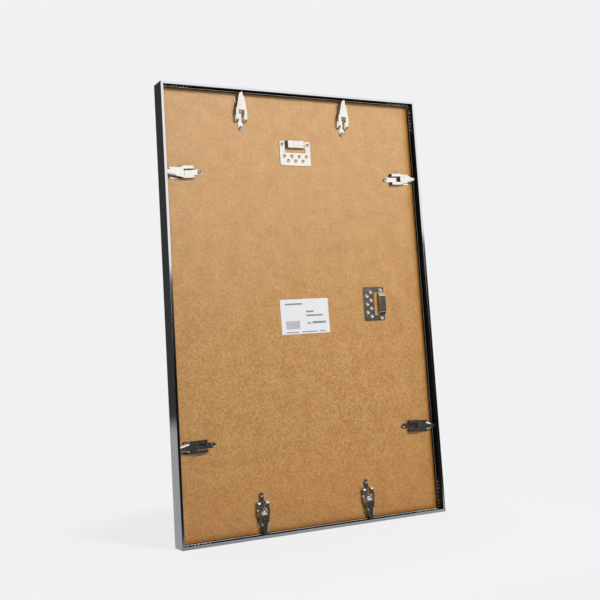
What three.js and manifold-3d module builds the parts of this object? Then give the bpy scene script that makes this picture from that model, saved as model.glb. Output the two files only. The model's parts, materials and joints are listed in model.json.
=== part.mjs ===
// A poster frame: four mitred aluminium rails round a glazed picture, held from behind by turn clips.
// Millimetres, +Z up. The picture side faces -Y, and the origin lies under the middle of the frame.
// Left and right are as seen from the picture side, so +X is the right.

import * as THREE from 'three';
import { mergeVertices } from 'three/addons/utils/BufferGeometryUtils.js';
import Module from 'manifold-3d';

// Sheets in the rebate: glazing, picture and back board share the picture's format
const PICTURE_WIDTH = 406.4;
const PICTURE_HEIGHT = 609.6;
const SHEET_PLAY = 0.8;
const SHEET_GAP = 0.1;
const GLAZING_THICKNESS = 2.0;
const INSERT_THICKNESS = 0.3;
const BOARD_THICKNESS = 3.0;

// Rail extrusion: widths run in from the outer face, depths run from the back to the front
const RAIL_WALL = 1.4;
const BEAD_WIDTH = 4.2;
const BEAD_DEPTH = 5.0;
const CLIP_ROOM = 8.9;
const FRONT_WIDTH = 9.0;
const FRONT_DEPTH = 6.5;
const CHAMBER_WALL = 1.3;
const SLOT_MOUTH = 7.0;
const SLOT_UNDERCUT = 1.0;
const SLOT_DEPTH = 1.5;
const MITRE_GAP = 0.1;

// Corner keys and their set screws
const KEY_LEG = 49.0;
const KEY_PLAY = 0.2;
const KEY_SCREW_NEAR = 16.0;
const KEY_SCREW_FAR = 33.0;
const SCREW_RADIUS = 1.7;
const SCREW_LENGTH = 2.5;
const SCREW_SEAT_GAP = 0.1;
const SCREW_HOLE_PLAY = 0.25;
const SCREW_SLOT_WIDTH = 0.8;
const SCREW_SLOT_DEPTH = 0.9;

// Turn clips: lengths run from the pivot towards the tip, heights run up from the board
const CLIP_SHEET = 0.8;
const CLIP_RUN_GAP = 0.3;
const CLIP_INSET = 55.8;
const TIP_ENGAGEMENT = 0.8;
const TIP_CLEARANCE = 0.4;
const TIP_RADIUS = 2.8;
const PLATE_RISE = 1.5;
const SHOULDER = 25.0;
const SHOULDER_HALF = 8.6;
const SHOULDER_RUN = 3.0;
const ARROW_HALF = 7.4;
const TONGUE_WIDTH = 7.2;
const TONGUE_RAMP = 4.4;
const WINDOW_SETBACK = 1.0;
const LEG_SLOT = 0.7;
const LEG_LENGTH = 17.0;
const LEG_END_HALF = 8.2;
const LEG_BEND_RADIUS = 1.8;
const LEG_BEND_ANGLE = THREE.MathUtils.degToRad(60);
const LEG_DROP = 4.5;
const RUNNER_WIDTH = 3.6;
const RUNNER_HEEL = 8.4;
const RUNNER_REAR_RAMP = 3.0;
const RUNNER_FRONT_RAMP = 7.0;
const RUNNER_ROOT = 2.0;
const RUNNER_SETBACK = 8.4;

// Places of the clip pivots, and how far each clip stands off square
const TOP_CLIP_RIGHT = 86.0;
const TOP_CLIP_LEFT = 81.0;
const SIDE_CLIP_FROM_TOP = 122.0;
const SIDE_CLIP_FROM_BOTTOM = 128.3;
const CLIP_TILTS = {
  top_right: 1.5,
  top_left: 4.2,
  right_upper: -2.8,
  right_lower: -1.4,
  left_upper: -1.4,
  left_lower: 3.7,
  bottom_right: -1.4,
  bottom_left: -3.2,
};

// Hollow rivets through clip and board
const RIVET_RADIUS = 1.8;
const RIVET_PLAY = 0.25;
const RIVET_HEAD_RADIUS = 3.1;
const RIVET_HEAD_HEIGHT = 1.1;
const RIVET_RIM_HEIGHT = 0.4;
const RIVET_HEAD_GAP = 0.2;
const RIVET_BORE = 1.2;
const RIVET_BORE_FLOOR = 0.6;
const RIVET_FLANGE_RADIUS = 2.9;
const RIVET_FLANGE_THICKNESS = 0.6;
const COUNTERBORE_DEPTH = 0.9;
const COUNTERBORE_PLAY = 0.4;

// Hangers: stamped plates with a raised strap along the edge that bears on the hook
const HANGER_WIDTH = 50.0;
const HANGER_HEIGHT = 36.0;
const HANGER_SHEET = 1.0;
const HANGER_GAP = 0.1;
const HANGER_CORNER = 3.0;
const WINDOW_WIDTH = 34.0;
const WINDOW_HEIGHT = 17.2;
const STRAP_WIDTH = 10.5;
const STRAP_FLAT = 26.4;
const STRAP_RISE = 4.4;
const STRAP_ROOT = 1.5;
const PIERCING_RADIUS = 2.2;
const PIERCING_PITCH = 12.0;
const EAR_PIERCING_IN = 4.2;
const EAR_PIERCING_DOWN = 5.4;
const UPPER_ROW_DOWN = 22.8;
const UPPER_ROW_COUNT = 4;
const LOWER_ROW_DOWN = 29.4;
const LOWER_ROW_COUNT = 3;
const BURR_WALL = 0.4;
const BURR_LENGTH = 1.3;
const BURR_PLAY = 0.3;
const TOP_HANGER_INSET = 70.5;
const SIDE_HANGER_INSET = 73.0;

// Paper label on the board
const LABEL_WIDTH = 78.0;
const LABEL_HEIGHT = 49.5;
const LABEL_THICKNESS = 0.2;
const LABEL_GAP = 0.1;
const LABEL_BELOW_MIDDLE = 14.8;
const LABEL_TURN = 1.0;

// Facets of round forms, and the overreach that makes a cut or a joint clean
const ROUND_SIDES = 12;
const ARC_STEPS = 4;
const OVERREACH = 1.0;

// Sizes that follow
const FRAME_WIDTH = PICTURE_WIDTH + 2 * (SHEET_PLAY + BEAD_WIDTH);
const FRAME_HEIGHT = PICTURE_HEIGHT + 2 * (SHEET_PLAY + BEAD_WIDTH);
const RECESS = BEAD_DEPTH + CLIP_ROOM;
const STACK = BOARD_THICKNESS + INSERT_THICKNESS + GLAZING_THICKNESS + 3 * SHEET_GAP;
const SEAT_DEPTH = RECESS + STACK;
const RAIL_DEPTH = SEAT_DEPTH + FRONT_DEPTH;
const BACK_Y = RAIL_DEPTH / 2;
const BOARD_Y = BACK_Y - RECESS;
const INSERT_Y = BOARD_Y - BOARD_THICKNESS - SHEET_GAP;
const GLAZING_Y = INSERT_Y - INSERT_THICKNESS - SHEET_GAP;
const SLOT_FLOOR = RAIL_WALL + SLOT_DEPTH;
const SLOT_BACK = BEAD_DEPTH - SLOT_UNDERCUT;
const SLOT_FRONT = BEAD_DEPTH + SLOT_MOUTH + SLOT_UNDERCUT;
const KEY_WIDTH = SLOT_FRONT - SLOT_BACK - 2 * KEY_PLAY;
const KEY_THICKNESS = SLOT_DEPTH - 2 * KEY_PLAY;
const KEY_OFFSET = RAIL_WALL + KEY_PLAY;
const KEY_Y = BACK_Y - (SLOT_BACK + SLOT_FRONT) / 2;
const CLIP_REACH = CLIP_INSET - BEAD_WIDTH + TIP_ENGAGEMENT;
const TIP_TOP = CLIP_ROOM - TIP_CLEARANCE;
const PLATE_UNDER = TIP_TOP - PLATE_RISE - CLIP_SHEET;
const WINDOW_EDGE = SHOULDER + WINDOW_SETBACK;

const wasm = await Module();
wasm.setup();

const aluminium = new THREE.MeshStandardMaterial({ color: 0xc6c8cb, roughness: 0.1, metalness: 1 });
const plated = new THREE.MeshStandardMaterial({ color: 0xbdbcb8, roughness: 0.15, metalness: 1 });
const zinc = new THREE.MeshStandardMaterial({ color: 0x9fa2a5, roughness: 0.35, metalness: 1 });
const hardboard = new THREE.MeshStandardMaterial({ color: 0xb58a58, roughness: 0.85, metalness: 0 });
const paper = new THREE.MeshStandardMaterial({ color: 0xf2f1ee, roughness: 0.7, metalness: 0 });
const acrylic = new THREE.MeshStandardMaterial({ color: 0xdfe6e8, roughness: 0.05, metalness: 0 });

// Turns a closed geometry into a solid that can be joined and cut
function solidOf(geometry) {
  const bare = geometry.clone();
  bare.deleteAttribute('normal');
  bare.deleteAttribute('uv');
  const merged = mergeVertices(bare);
  const vertProperties = new Float32Array(merged.attributes.position.array);
  const triVerts = new Uint32Array(merged.index.array);
  return new wasm.Manifold(new wasm.Mesh({ numProp: 3, vertProperties, triVerts }));
}

// Turns a solid back into a geometry
function geometryOf(solid) {
  const mesh = solid.getMesh();
  const geometry = new THREE.BufferGeometry();
  geometry.setAttribute('position', new THREE.BufferAttribute(mesh.vertProperties, 3));
  geometry.setIndex(new THREE.BufferAttribute(mesh.triVerts, 1));
  geometry.computeVertexNormals();
  return geometry;
}

function point(x, y) {
  return new THREE.Vector2(x, y);
}

// The same line on the other side of a sheet, with mitred bends
function offsetLine(line, thickness) {
  return line.map((here, i) => {
    const before = line[Math.max(i - 1, 0)];
    const after = line[Math.min(i + 1, line.length - 1)];
    const arriving = (i > 0 ? here.clone().sub(before) : after.clone().sub(here)).normalize();
    const leaving = (i < line.length - 1 ? after.clone().sub(here) : arriving.clone()).normalize();
    const across = point(-arriving.y - leaving.y, arriving.x + leaving.x);
    return here.clone().addScaledVector(across, thickness / (1 + arriving.dot(leaving)));
  });
}

// A bent strip of sheet: its under face in side view (along, height), stretched across the y axis
function bentStrip(underFace, thickness, fromY, toY) {
  const outline = new THREE.Shape([...underFace, ...offsetLine(underFace, thickness).reverse()]);
  const geometry = new THREE.ExtrudeGeometry(outline, { depth: toY - fromY, bevelEnabled: false });
  geometry.rotateX(Math.PI / 2);
  geometry.translate(0, toY, 0);
  return solidOf(geometry);
}

// A plan outline in x and y, stretched between two heights
function planBlock(shape, low, high) {
  const settings = { depth: high - low, bevelEnabled: false, curveSegments: ARC_STEPS };
  const geometry = new THREE.ExtrudeGeometry(shape, settings);
  geometry.translate(0, 0, low);
  return solidOf(geometry);
}

// A round bar that stands along z at a place in plan
function standingBar(x, y, radius, low, high) {
  const geometry = new THREE.CylinderGeometry(radius, radius, high - low, ROUND_SIDES);
  geometry.rotateX(Math.PI / 2);
  geometry.translate(x, y, (low + high) / 2);
  return solidOf(geometry);
}

// The rail's section: inward distance and depth from the back
function railSection() {
  const section = new THREE.Shape([
    point(0, 0),
    point(BEAD_WIDTH, 0),
    point(BEAD_WIDTH, BEAD_DEPTH),
    point(SLOT_FLOOR, BEAD_DEPTH),
    point(SLOT_FLOOR, SLOT_BACK),
    point(RAIL_WALL, SLOT_BACK),
    point(RAIL_WALL, SLOT_FRONT),
    point(SLOT_FLOOR, SLOT_FRONT),
    point(SLOT_FLOOR, SLOT_FRONT - SLOT_UNDERCUT),
    point(BEAD_WIDTH, SLOT_FRONT - SLOT_UNDERCUT),
    point(BEAD_WIDTH, SEAT_DEPTH),
    point(FRONT_WIDTH, SEAT_DEPTH),
    point(FRONT_WIDTH, RAIL_DEPTH),
    point(0, RAIL_DEPTH),
  ]);
  section.holes.push(new THREE.Path([
    point(RAIL_WALL, SLOT_FRONT + CHAMBER_WALL),
    point(BEAD_WIDTH - CHAMBER_WALL, SLOT_FRONT + CHAMBER_WALL),
    point(BEAD_WIDTH - CHAMBER_WALL, SEAT_DEPTH + CHAMBER_WALL),
    point(FRONT_WIDTH - CHAMBER_WALL, SEAT_DEPTH + CHAMBER_WALL),
    point(FRONT_WIDTH - CHAMBER_WALL, RAIL_DEPTH - CHAMBER_WALL),
    point(RAIL_WALL, RAIL_DEPTH - CHAMBER_WALL),
  ]));
  return section;
}

// A rail along x with its outer face at z 0, its ends mitred by moving each end in by its inward distance
function railGeometry(length) {
  const geometry = new THREE.ExtrudeGeometry(railSection(), { depth: length, bevelEnabled: false });
  const position = geometry.attributes.position;
  for (let i = 0; i < position.count; i += 1) {
    const inward = position.getX(i);
    const depth = position.getY(i);
    const reach = length / 2 - inward - MITRE_GAP / 2;
    const along = position.getZ(i) < length / 2 ? -reach : reach;
    position.setXYZ(i, along, BACK_Y - depth, inward);
  }
  geometry.computeVertexNormals();
  return geometry;
}

// One leg of a corner key along x from the corner, its plate upright on z, with a round end
function keyLeg() {
  const half = KEY_WIDTH / 2;
  const face = new THREE.Shape();
  face.moveTo(KEY_OFFSET, -half);
  face.lineTo(KEY_LEG - half, -half);
  face.absarc(KEY_LEG - half, 0, half, -Math.PI / 2, Math.PI / 2, false);
  face.lineTo(KEY_OFFSET, half);
  const plate = planBlock(face, KEY_OFFSET, KEY_OFFSET + KEY_THICKNESS);
  const holeRadius = SCREW_RADIUS + SCREW_HOLE_PLAY;
  const top = KEY_OFFSET + KEY_THICKNESS + OVERREACH;
  const near = standingBar(KEY_SCREW_NEAR, 0, holeRadius, 0, top);
  const far = standingBar(KEY_SCREW_FAR, 0, holeRadius, 0, top);
  return plate.subtract(near).subtract(far);
}

// The bent key for the corner at the origin: one leg along x, the other along z
function keyGeometry() {
  const lying = geometryOf(keyLeg());
  const standing = geometryOf(keyLeg());
  standing.rotateZ(Math.PI);
  standing.rotateY(Math.PI / 2);
  return geometryOf(solidOf(lying).add(solidOf(standing)));
}

// A slotted set screw that stands along z with its point at z 0
function screwGeometry() {
  const shank = standingBar(0, 0, SCREW_RADIUS, 0, SCREW_LENGTH);
  const slot = new THREE.BoxGeometry(2 * SCREW_RADIUS + OVERREACH, SCREW_SLOT_WIDTH, 2 * SCREW_SLOT_DEPTH);
  slot.translate(0, 0, SCREW_LENGTH);
  return geometryOf(shank.subtract(solidOf(slot)));
}

// The arrow plate and its two rear legs in plan
function platePlan() {
  const legEnd = SHOULDER - LEG_LENGTH - CLIP_SHEET;
  const slotHalf = TONGUE_WIDTH / 2 + LEG_SLOT;
  const plan = new THREE.Shape();
  plan.moveTo(legEnd, slotHalf);
  plan.lineTo(WINDOW_EDGE, slotHalf);
  plan.lineTo(WINDOW_EDGE, -slotHalf);
  plan.lineTo(legEnd, -slotHalf);
  plan.lineTo(legEnd, -LEG_END_HALF);
  plan.lineTo(SHOULDER, -SHOULDER_HALF);
  plan.lineTo(SHOULDER + SHOULDER_RUN, -ARROW_HALF);
  plan.lineTo(CLIP_REACH - TIP_RADIUS, -TIP_RADIUS);
  plan.absarc(CLIP_REACH - TIP_RADIUS, 0, TIP_RADIUS, -Math.PI / 2, Math.PI / 2, false);
  plan.lineTo(SHOULDER + SHOULDER_RUN, ARROW_HALF);
  plan.lineTo(SHOULDER, SHOULDER_HALF);
  plan.lineTo(legEnd, LEG_END_HALF);
  return plan;
}

// The under face of the plate: the legs bend down behind, and the arrow climbs to its tip
function plateLine() {
  const bendBack = LEG_BEND_RADIUS * Math.sin(LEG_BEND_ANGLE);
  const bendDrop = LEG_BEND_RADIUS * (1 - Math.cos(LEG_BEND_ANGLE));
  const endBack = LEG_DROP * Math.cos(LEG_BEND_ANGLE);
  const endDrop = LEG_DROP * Math.sin(LEG_BEND_ANGLE);
  const bendX = SHOULDER - LEG_LENGTH + bendBack + endBack;
  const line = [point(SHOULDER - LEG_LENGTH, PLATE_UNDER - bendDrop - endDrop)];
  for (let step = 0; step < ARC_STEPS; step += 1) {
    const angle = LEG_BEND_ANGLE * (1 - step / ARC_STEPS);
    const back = LEG_BEND_RADIUS * Math.sin(angle);
    const drop = LEG_BEND_RADIUS * (1 - Math.cos(angle));
    line.push(point(bendX - back, PLATE_UNDER - drop));
  }
  line.push(point(bendX, PLATE_UNDER));
  line.push(point(SHOULDER + SHOULDER_RUN, PLATE_UNDER));
  line.push(point(CLIP_REACH, TIP_TOP - CLIP_SHEET));
  return line;
}

function clipPlate() {
  const sheet = bentStrip(plateLine(), CLIP_SHEET, -SHOULDER_HALF, SHOULDER_HALF);
  return sheet.intersect(planBlock(platePlan(), -OVERREACH, CLIP_ROOM + OVERREACH));
}

// The tongue lies on the board, ends round behind the pivot and ramps up into the plate
function clipTongue() {
  const half = TONGUE_WIDTH / 2;
  const line = [
    point(-half, CLIP_RUN_GAP),
    point(WINDOW_EDGE - TONGUE_RAMP, CLIP_RUN_GAP),
    point(WINDOW_EDGE, PLATE_UNDER),
    point(WINDOW_EDGE + OVERREACH, PLATE_UNDER),
  ];
  const plan = new THREE.Shape();
  plan.moveTo(WINDOW_EDGE + OVERREACH, half);
  plan.lineTo(0, half);
  plan.absarc(0, 0, half, Math.PI / 2, -Math.PI / 2, false);
  plan.lineTo(WINDOW_EDGE + OVERREACH, -half);
  const sheet = bentStrip(line, CLIP_SHEET, -half, half);
  return sheet.intersect(planBlock(plan, -OVERREACH, CLIP_ROOM));
}

// A runner lies on the board along one side of the clip and arches up to the plate at the shoulder
function clipRunner(side) {
  const line = [
    point(RUNNER_HEEL, CLIP_RUN_GAP),
    point(SHOULDER - RUNNER_ROOT - RUNNER_REAR_RAMP, CLIP_RUN_GAP),
    point(SHOULDER - RUNNER_ROOT, PLATE_UNDER),
    point(SHOULDER, PLATE_UNDER),
    point(SHOULDER + RUNNER_FRONT_RAMP, CLIP_RUN_GAP),
    point(CLIP_REACH - RUNNER_SETBACK, CLIP_RUN_GAP),
  ];
  const low = side > 0 ? LEG_END_HALF - RUNNER_WIDTH : -LEG_END_HALF;
  return bentStrip(line, CLIP_SHEET, low, low + RUNNER_WIDTH);
}

function clipGeometry() {
  const runners = clipRunner(1).add(clipRunner(-1));
  const hole = standingBar(0, 0, RIVET_RADIUS + RIVET_PLAY, -OVERREACH, CLIP_ROOM);
  const clip = clipPlate().add(clipTongue()).add(runners).subtract(hole);
  return geometryOf(clip).rotateX(-Math.PI / 2);
}

// A hollow rivet along y: a flange sunk in the board's front, a shank, and a rolled head on the clip
function rivetGeometry() {
  const flangeBack = COUNTERBORE_DEPTH - BOARD_THICKNESS - SHEET_GAP;
  const flangeFront = flangeBack - RIVET_FLANGE_THICKNESS;
  const headLow = CLIP_RUN_GAP + CLIP_SHEET + RIVET_HEAD_GAP;
  const headTop = headLow + RIVET_HEAD_HEIGHT;
  const crown = (RIVET_HEAD_RADIUS + RIVET_BORE) / 2;
  const rim = headLow + RIVET_RIM_HEIGHT;
  const profile = [
    point(0, flangeFront),
    point(RIVET_FLANGE_RADIUS, flangeFront),
    point(RIVET_FLANGE_RADIUS, flangeBack),
    point(RIVET_RADIUS, flangeBack),
    point(RIVET_RADIUS, headLow),
    point(RIVET_HEAD_RADIUS, headLow),
    point(RIVET_HEAD_RADIUS, rim),
    point(crown, headTop),
    point(RIVET_BORE, rim),
    point(RIVET_BORE, RIVET_BORE_FLOOR),
    point(0, RIVET_BORE_FLOOR),
  ];
  return new THREE.LatheGeometry(profile, ROUND_SIDES);
}

// A row of pierced holes across a hanger, centred, at a distance below its strap edge
function piercingRow(count, pitch, down) {
  const places = [];
  for (let i = 0; i < count; i += 1) {
    places.push(point((i - (count - 1) / 2) * pitch, -down));
  }
  return places;
}

// Places of the pierced holes on a hanger, measured from the middle of its strap edge
function piercings() {
  const earPitch = HANGER_WIDTH - 2 * EAR_PIERCING_IN;
  return [
    ...piercingRow(2, earPitch, EAR_PIERCING_DOWN),
    ...piercingRow(UPPER_ROW_COUNT, PIERCING_PITCH, UPPER_ROW_DOWN),
    ...piercingRow(LOWER_ROW_COUNT, PIERCING_PITCH, LOWER_ROW_DOWN),
  ];
}

// The hanger's plate in plan: round corners, and the hook window open to the strap edge
function hangerPlan() {
  const half = HANGER_WIDTH / 2;
  const r = HANGER_CORNER;
  const low = -HANGER_HEIGHT;
  const plan = new THREE.Shape();
  plan.moveTo(-WINDOW_WIDTH / 2, 0);
  plan.lineTo(-half + r, 0);
  plan.absarc(-half + r, -r, r, Math.PI / 2, Math.PI, false);
  plan.lineTo(-half, low + r);
  plan.absarc(-half + r, low + r, r, Math.PI, 1.5 * Math.PI, false);
  plan.lineTo(half - r, low);
  plan.absarc(half - r, low + r, r, 1.5 * Math.PI, 2 * Math.PI, false);
  plan.lineTo(half, -r);
  plan.absarc(half - r, -r, r, 0, Math.PI / 2, false);
  plan.lineTo(WINDOW_WIDTH / 2, 0);
  plan.lineTo(WINDOW_WIDTH / 2, -WINDOW_HEIGHT);
  plan.lineTo(-WINDOW_WIDTH / 2, -WINDOW_HEIGHT);
  return plan;
}

// The raised strap bridges the window between the two ears
function hangerStrap() {
  const foot = WINDOW_WIDTH / 2;
  const line = [
    point(-foot - STRAP_ROOT, HANGER_GAP),
    point(-foot, HANGER_GAP),
    point(-STRAP_FLAT / 2, HANGER_GAP + STRAP_RISE),
    point(STRAP_FLAT / 2, HANGER_GAP + STRAP_RISE),
    point(foot, HANGER_GAP),
    point(foot + STRAP_ROOT, HANGER_GAP),
  ];
  return bentStrip(line, HANGER_SHEET, -STRAP_WIDTH, 0);
}

function hangerGeometry() {
  const plateTop = HANGER_GAP + HANGER_SHEET;
  let hanger = planBlock(hangerPlan(), HANGER_GAP, plateTop).add(hangerStrap());
  for (const place of piercings()) {
    hanger = hanger.add(standingBar(place.x, place.y, PIERCING_RADIUS + BURR_WALL, -BURR_LENGTH, plateTop));
  }
  for (const place of piercings()) {
    const top = plateTop + OVERREACH;
    hanger = hanger.subtract(standingBar(place.x, place.y, PIERCING_RADIUS, -BURR_LENGTH - OVERREACH, top));
  }
  return geometryOf(hanger).rotateX(-Math.PI / 2);
}

// Clips: pivot place, pointing direction (degrees from +X towards +Z) and tilt
function clipPlaces() {
  const sideX = FRAME_WIDTH / 2 - CLIP_INSET;
  const topZ = FRAME_HEIGHT - CLIP_INSET;
  const upperZ = FRAME_HEIGHT - SIDE_CLIP_FROM_TOP;
  const places = [
    { name: 'top_right', x: TOP_CLIP_RIGHT, z: topZ, aim: 90 },
    { name: 'top_left', x: -TOP_CLIP_LEFT, z: topZ, aim: 90 },
    { name: 'right_upper', x: sideX, z: upperZ, aim: 0 },
    { name: 'right_lower', x: sideX, z: SIDE_CLIP_FROM_BOTTOM, aim: 0 },
    { name: 'left_upper', x: -sideX, z: upperZ, aim: 180 },
    { name: 'left_lower', x: -sideX, z: SIDE_CLIP_FROM_BOTTOM, aim: 180 },
    { name: 'bottom_right', x: TOP_CLIP_RIGHT, z: CLIP_INSET, aim: 270 },
    { name: 'bottom_left', x: -TOP_CLIP_LEFT, z: CLIP_INSET, aim: 270 },
  ];
  return places;
}

// Hangers: middle of the strap edge, and the turn about y that faces the strap edge up or to the left side
function hangerPlaces() {
  const topZ = FRAME_HEIGHT - TOP_HANGER_INSET;
  const sideX = SIDE_HANGER_INSET - FRAME_WIDTH / 2;
  return [
    { name: 'hanger_upright', x: 0, z: topZ, turn: Math.PI },
    { name: 'hanger_sideways', x: sideX, z: FRAME_HEIGHT / 2, turn: Math.PI / 2 },
  ];
}

// A round cutter along y, from one depth to another below the board's back face
function boardCutter(x, z, radius, from, to) {
  const geometry = new THREE.CylinderGeometry(radius, radius, to - from, ROUND_SIDES);
  geometry.translate(x, -(from + to) / 2, z);
  return solidOf(geometry);
}

// The back board with its rivet holes, their counterbores in front and the pockets of the hangers' burrs
function boardGeometry() {
  const sheet = new THREE.BoxGeometry(PICTURE_WIDTH, BOARD_THICKNESS, PICTURE_HEIGHT);
  sheet.translate(0, -BOARD_THICKNESS / 2, FRAME_HEIGHT / 2);
  let board = solidOf(sheet);
  const front = BOARD_THICKNESS + OVERREACH;
  const bore = RIVET_RADIUS + RIVET_PLAY;
  const sink = RIVET_FLANGE_RADIUS + COUNTERBORE_PLAY;
  for (const { x, z } of clipPlaces()) {
    board = board.subtract(boardCutter(x, z, bore, -OVERREACH, front));
    board = board.subtract(boardCutter(x, z, sink, BOARD_THICKNESS - COUNTERBORE_DEPTH, front));
  }
  const pocket = PIERCING_RADIUS + BURR_WALL + BURR_PLAY;
  for (const hanger of hangerPlaces()) {
    for (const place of piercings()) {
      const spot = new THREE.Vector3(place.x, 0, -place.y);
      spot.applyAxisAngle(new THREE.Vector3(0, 1, 0), hanger.turn);
      const depth = BURR_LENGTH + BURR_PLAY;
      board = board.subtract(boardCutter(hanger.x + spot.x, hanger.z + spot.z, pocket, -OVERREACH, depth));
    }
  }
  return geometryOf(board);
}

const frame = new THREE.Group();

function addPiece(parent, name, geometry, material, x, y, z, turn = 0) {
  const piece = new THREE.Mesh(geometry, material);
  piece.name = name;
  piece.position.set(x, y, z);
  piece.rotation.y = turn;
  parent.add(piece);
}

// Rails, each turned about y so that its outer face looks out of the frame
const sides = [
  { name: 'bottom', length: FRAME_WIDTH, x: 0, z: 0, turn: 0 },
  { name: 'top', length: FRAME_WIDTH, x: 0, z: FRAME_HEIGHT, turn: Math.PI },
  { name: 'right', length: FRAME_HEIGHT, x: FRAME_WIDTH / 2, z: FRAME_HEIGHT / 2, turn: -Math.PI / 2 },
  { name: 'left', length: FRAME_HEIGHT, x: -FRAME_WIDTH / 2, z: FRAME_HEIGHT / 2, turn: Math.PI / 2 },
];
for (const { name, length, x, z, turn } of sides) {
  addPiece(frame, `rail_${name}`, railGeometry(length), aluminium, x, 0, z, turn);
}

// Corner keys with two set screws in each leg, built at the bottom left corner and turned to the others
const corners = [
  { name: 'bottom_left', x: -FRAME_WIDTH / 2, z: 0, turn: 0 },
  { name: 'bottom_right', x: FRAME_WIDTH / 2, z: 0, turn: -Math.PI / 2 },
  { name: 'top_right', x: FRAME_WIDTH / 2, z: FRAME_HEIGHT, turn: Math.PI },
  { name: 'top_left', x: -FRAME_WIDTH / 2, z: FRAME_HEIGHT, turn: Math.PI / 2 },
];
const key = keyGeometry();
const screw = screwGeometry();
const screwSeat = RAIL_WALL + SCREW_SEAT_GAP;
for (const { name, x, z, turn } of corners) {
  const corner = new THREE.Group();
  corner.position.set(x, KEY_Y, z);
  corner.rotation.y = turn;
  frame.add(corner);
  addPiece(corner, `corner_key_${name}`, key, zinc, 0, 0, 0);
  addPiece(corner, `set_screw_${name}_1`, screw, zinc, KEY_SCREW_NEAR, 0, screwSeat);
  addPiece(corner, `set_screw_${name}_2`, screw, zinc, KEY_SCREW_FAR, 0, screwSeat);
  addPiece(corner, `set_screw_${name}_3`, screw, zinc, screwSeat, 0, KEY_SCREW_NEAR, Math.PI / 2);
  addPiece(corner, `set_screw_${name}_4`, screw, zinc, screwSeat, 0, KEY_SCREW_FAR, Math.PI / 2);
}

// Sheets, from the front to the back
const glazing = new THREE.BoxGeometry(PICTURE_WIDTH, GLAZING_THICKNESS, PICTURE_HEIGHT);
const insert = new THREE.BoxGeometry(PICTURE_WIDTH, INSERT_THICKNESS, PICTURE_HEIGHT);
addPiece(frame, 'glazing_sheet', glazing, acrylic, 0, GLAZING_Y - GLAZING_THICKNESS / 2, FRAME_HEIGHT / 2);
addPiece(frame, 'paper_insert', insert, paper, 0, INSERT_Y - INSERT_THICKNESS / 2, FRAME_HEIGHT / 2);
addPiece(frame, 'back_board', boardGeometry(), hardboard, 0, BOARD_Y, 0);

// Clips on their rivets
const clip = clipGeometry();
const rivet = rivetGeometry();
for (const { name, x, z, aim } of clipPlaces()) {
  const turn = -THREE.MathUtils.degToRad(aim + CLIP_TILTS[name]);
  addPiece(frame, `clip_${name}`, clip, plated, x, BOARD_Y, z, turn);
  addPiece(frame, `rivet_${name}`, rivet, plated, x, BOARD_Y, z);
}

// Hangers and label on the board
const hanger = hangerGeometry();
for (const { name, x, z, turn } of hangerPlaces()) {
  addPiece(frame, name, hanger, plated, x, BOARD_Y, z, turn);
}
const label = new THREE.BoxGeometry(LABEL_WIDTH, LABEL_THICKNESS, LABEL_HEIGHT);
const labelY = BOARD_Y + LABEL_GAP + LABEL_THICKNESS / 2;
const labelZ = FRAME_HEIGHT / 2 - LABEL_BELOW_MIDDLE;
addPiece(frame, 'label', label, paper, 0, labelY, labelZ, THREE.MathUtils.degToRad(LABEL_TURN));

export default frame;
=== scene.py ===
"""Looks of a poster frame seen from behind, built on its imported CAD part.

The file is laid out as an add-on and is run as a script. Lengths are metres in the CAD part's own frame.
There +Z is up and the picture side faces -Y. Left and right are as seen from the picture side, so the right
is at +X.
"""

import json
import math

import bmesh
import bpy
from bpy.props import FloatProperty, FloatVectorProperty, IntProperty, PointerProperty
from mathutils import Matrix, Vector


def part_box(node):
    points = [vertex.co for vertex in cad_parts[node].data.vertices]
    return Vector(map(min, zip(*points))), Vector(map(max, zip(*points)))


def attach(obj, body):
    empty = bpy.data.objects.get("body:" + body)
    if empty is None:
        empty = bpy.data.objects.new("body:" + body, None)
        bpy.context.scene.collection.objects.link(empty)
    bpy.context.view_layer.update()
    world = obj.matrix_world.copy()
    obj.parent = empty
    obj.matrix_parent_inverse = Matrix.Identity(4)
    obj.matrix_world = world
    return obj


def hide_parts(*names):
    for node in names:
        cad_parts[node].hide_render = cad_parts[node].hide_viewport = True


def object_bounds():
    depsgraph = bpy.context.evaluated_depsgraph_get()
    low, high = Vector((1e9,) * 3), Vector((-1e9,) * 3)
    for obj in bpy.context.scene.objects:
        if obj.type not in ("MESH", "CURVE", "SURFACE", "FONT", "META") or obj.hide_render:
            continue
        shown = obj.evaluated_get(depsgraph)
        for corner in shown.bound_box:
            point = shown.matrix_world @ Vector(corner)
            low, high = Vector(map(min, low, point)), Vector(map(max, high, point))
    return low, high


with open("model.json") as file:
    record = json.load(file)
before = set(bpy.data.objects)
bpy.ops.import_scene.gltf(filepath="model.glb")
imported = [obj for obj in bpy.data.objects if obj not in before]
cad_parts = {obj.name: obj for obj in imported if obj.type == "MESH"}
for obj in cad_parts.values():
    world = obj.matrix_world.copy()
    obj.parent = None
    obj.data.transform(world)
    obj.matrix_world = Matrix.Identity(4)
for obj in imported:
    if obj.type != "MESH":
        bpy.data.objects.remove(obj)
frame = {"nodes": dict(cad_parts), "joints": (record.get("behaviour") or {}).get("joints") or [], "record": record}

bl_info = {
    "name": "Poster Frame Back",
    "version": (1, 0, 0),
    "blender": (4, 5, 0),
    "location": "View3D > Sidebar > Poster Frame",
    "description": "Dresses the CAD part of a poster frame with rails, clips, hangers, board and label",
    "category": "Add Mesh",
}

# Units and axes
MM = 0.001
RIGHT = Vector((1, 0, 0))
BACK = Vector((0, 1, 0))
UP = Vector((0, 0, 1))

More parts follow.
